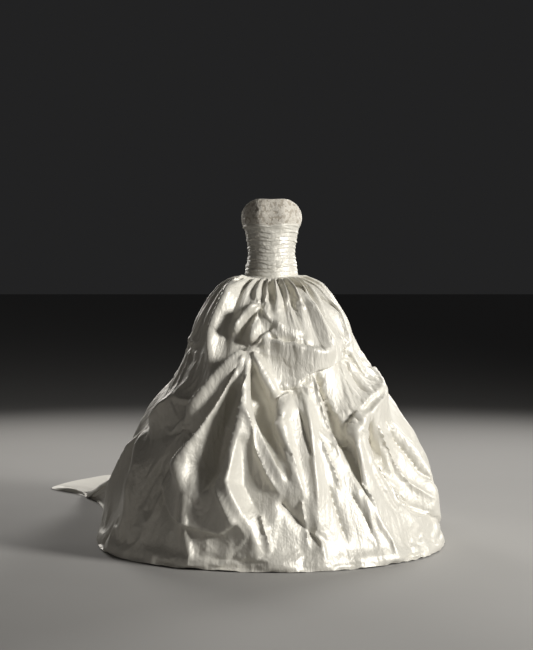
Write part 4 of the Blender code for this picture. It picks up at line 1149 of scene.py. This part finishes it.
# The buttons. Eleven small domed buttons, each covered in the gown's satin, which is gathered under its rim.
# They are sewn in a row to the left back's edge, over the stand where the pleats stop.
BUTTONS = 11
BUTTON_RADIUS, BUTTON_THICK = 0.0055, 0.0045
BUTTON_TOP, BUTTON_BOTTOM = 0.138, -0.090
BUTTON_FROM_EDGE = 0.0075
BUTTON_BASE = 0.25  # how far its flat base lies below its middle, as a share of its thickness
BUTTON_RIM = 0.0004  # how widely the edge of its base is rounded
SATIN_COLOURS = (0.66, 0.62, 0.53, 1), (0.80, 0.77, 0.69, 1)

satin = Finish("covered_button", Sheen_Weight=0.15, Specular_IOR_Level=0.55, Metallic=0.15)
weave = satin.noise(satin.drawn_out(satin.place(), 5200.0, 5200.0, 1500.0), 1.0, 2.0, 0.6)
puckers = satin.noise(satin.place(), 620.0, 2.0, 0.5)
satin.wear(
    Base_Color=satin.blend(puckers * 0.6 + weave * 0.4, *SATIN_COLOURS),
    Roughness=puckers * 0.16 + weave * 0.10 + 0.26,
)
satin.bump(puckers * 0.7 + weave * 0.3, 0.0003, 0.6)


def on_back(across, z, out):
    """A place on the back, so far to the wearer's left of the opening, and so far out from the cloth's face."""
    at = np.array(180 - math.degrees(across / BODICE[3].back))
    here, beside, above = (bodice_point(at + a, z + b) for a, b in ((0, 0), (1, 0), (0, BUTTON_THICK)))
    outward = unit(np.cross(beside - here, above - here))
    return Vector(here + outward * (CLOTH / 2 + out)), Vector(outward)


bpy.ops.object.select_all(action="DESELECT")
bpy.ops.mesh.primitive_uv_sphere_add(segments=20, ring_count=10, radius=BUTTON_RADIUS)
pattern = bpy.context.object
bpy.ops.object.mode_set(mode="EDIT")
bpy.ops.mesh.select_all(action="SELECT")
bpy.ops.transform.resize(value=(1, 1, BUTTON_THICK / BUTTON_RADIUS))
base = BUTTON_BASE * BUTTON_THICK
bpy.ops.mesh.bisect(plane_co=(0, 0, -base), plane_no=(0, 0, -1), clear_outer=True, use_fill=True)
bpy.ops.mesh.select_all(action="SELECT")
bpy.ops.transform.translate(value=(0, 0, base))
bpy.ops.object.mode_set(mode="OBJECT")
softened = pattern.modifiers.new("rim", "BEVEL")
softened.width, softened.segments = BUTTON_RIM, 2
softened.limit_method, softened.angle_limit = "ANGLE", math.radians(40)
bpy.ops.object.modifier_apply(modifier="rim")
bpy.ops.object.shade_smooth_by_angle(angle=math.radians(50))

button_heights = np.linspace(BUTTON_TOP, BUTTON_BOTTOM, BUTTONS)
for number, z in enumerate(button_heights, 1):
    button = put(f"satin_button_{number:02d}", pattern.data.copy())
    button.data.name = button.name
    seat, outward = on_back(BUTTON_FROM_EDGE, z, 0)
    button.data.transform(Matrix.Translation(seat) @ outward.to_track_quat("Z", "Y").to_matrix().to_4x4())
    button.data.materials.clear()
    button.data.materials.append(satin.material)
    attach(button, "root")
    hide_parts(f"button_{number:02d}")
bpy.data.objects.remove(pattern)

# The button loops. Thin satin rouleaux, one for each button, with both ends caught inside the right back's
# edge. Each reaches over the opening and round its button's rim.
LOOP_RADIUS = 0.0008
LOOP_ENDS = 0.0032  # how far each end lies above or below the button's middle
LOOP_OPENS = 0.0004  # how much further apart its two sides cross the opening
LOOP_OFF_RIM = 0.6  # how far its middle lies off the button's rim, in loop radii
LOOP_INSIDE = 0.004  # how far the ends run on past the opening
LOOP_TURN, LOOP_POINTS = 125, 11  # degrees round the rim to each side, and points on the way
LOOP_SUNK = -1.6  # how far the ends lie below the cloth's face, in loop radii

cords = bpy.data.curves.new("button_loops", "CURVE")
cords.dimensions = "3D"
cords.bevel_depth, cords.bevel_resolution, cords.use_fill_caps, cords.resolution_u = LOOP_RADIUS, 1, True, 3
round_rim = BUTTON_RADIUS + LOOP_RADIUS * LOOP_OFF_RIM
turns = np.radians(np.linspace(-LOOP_TURN, LOOP_TURN, LOOP_POINTS))
rim = [(BUTTON_FROM_EDGE + round_rim * math.cos(turn), round_rim * math.sin(turn), 1.0) for turn in turns]
lower_end = [(-LOOP_INSIDE, -LOOP_ENDS, LOOP_SUNK), (0.0, -LOOP_ENDS - LOOP_OPENS, 1.0)]
upper_end = [(0.0, LOOP_ENDS + LOOP_OPENS, 1.0), (-LOOP_INSIDE, LOOP_ENDS, LOOP_SUNK)]
way = lower_end + rim + upper_end
for z in button_heights:
    spline = cords.splines.new("NURBS")
    spline.points.add(len(way) - 1)
    for point, (across, up, out) in zip(spline.points, way):
        point.co = (*on_back(across, z + up, out * LOOP_RADIUS)[0], 1)
    spline.order_u = 3
    spline.use_endpoint_u = True
bpy.ops.object.select_all(action="DESELECT")
loops = put("button_loops", cords)
bpy.context.view_layer.objects.active = loops
loops.select_set(True)
bpy.ops.object.convert(target="MESH")
bpy.ops.object.shade_smooth()
loops.data.materials.append(satin.material)
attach(loops, "root")
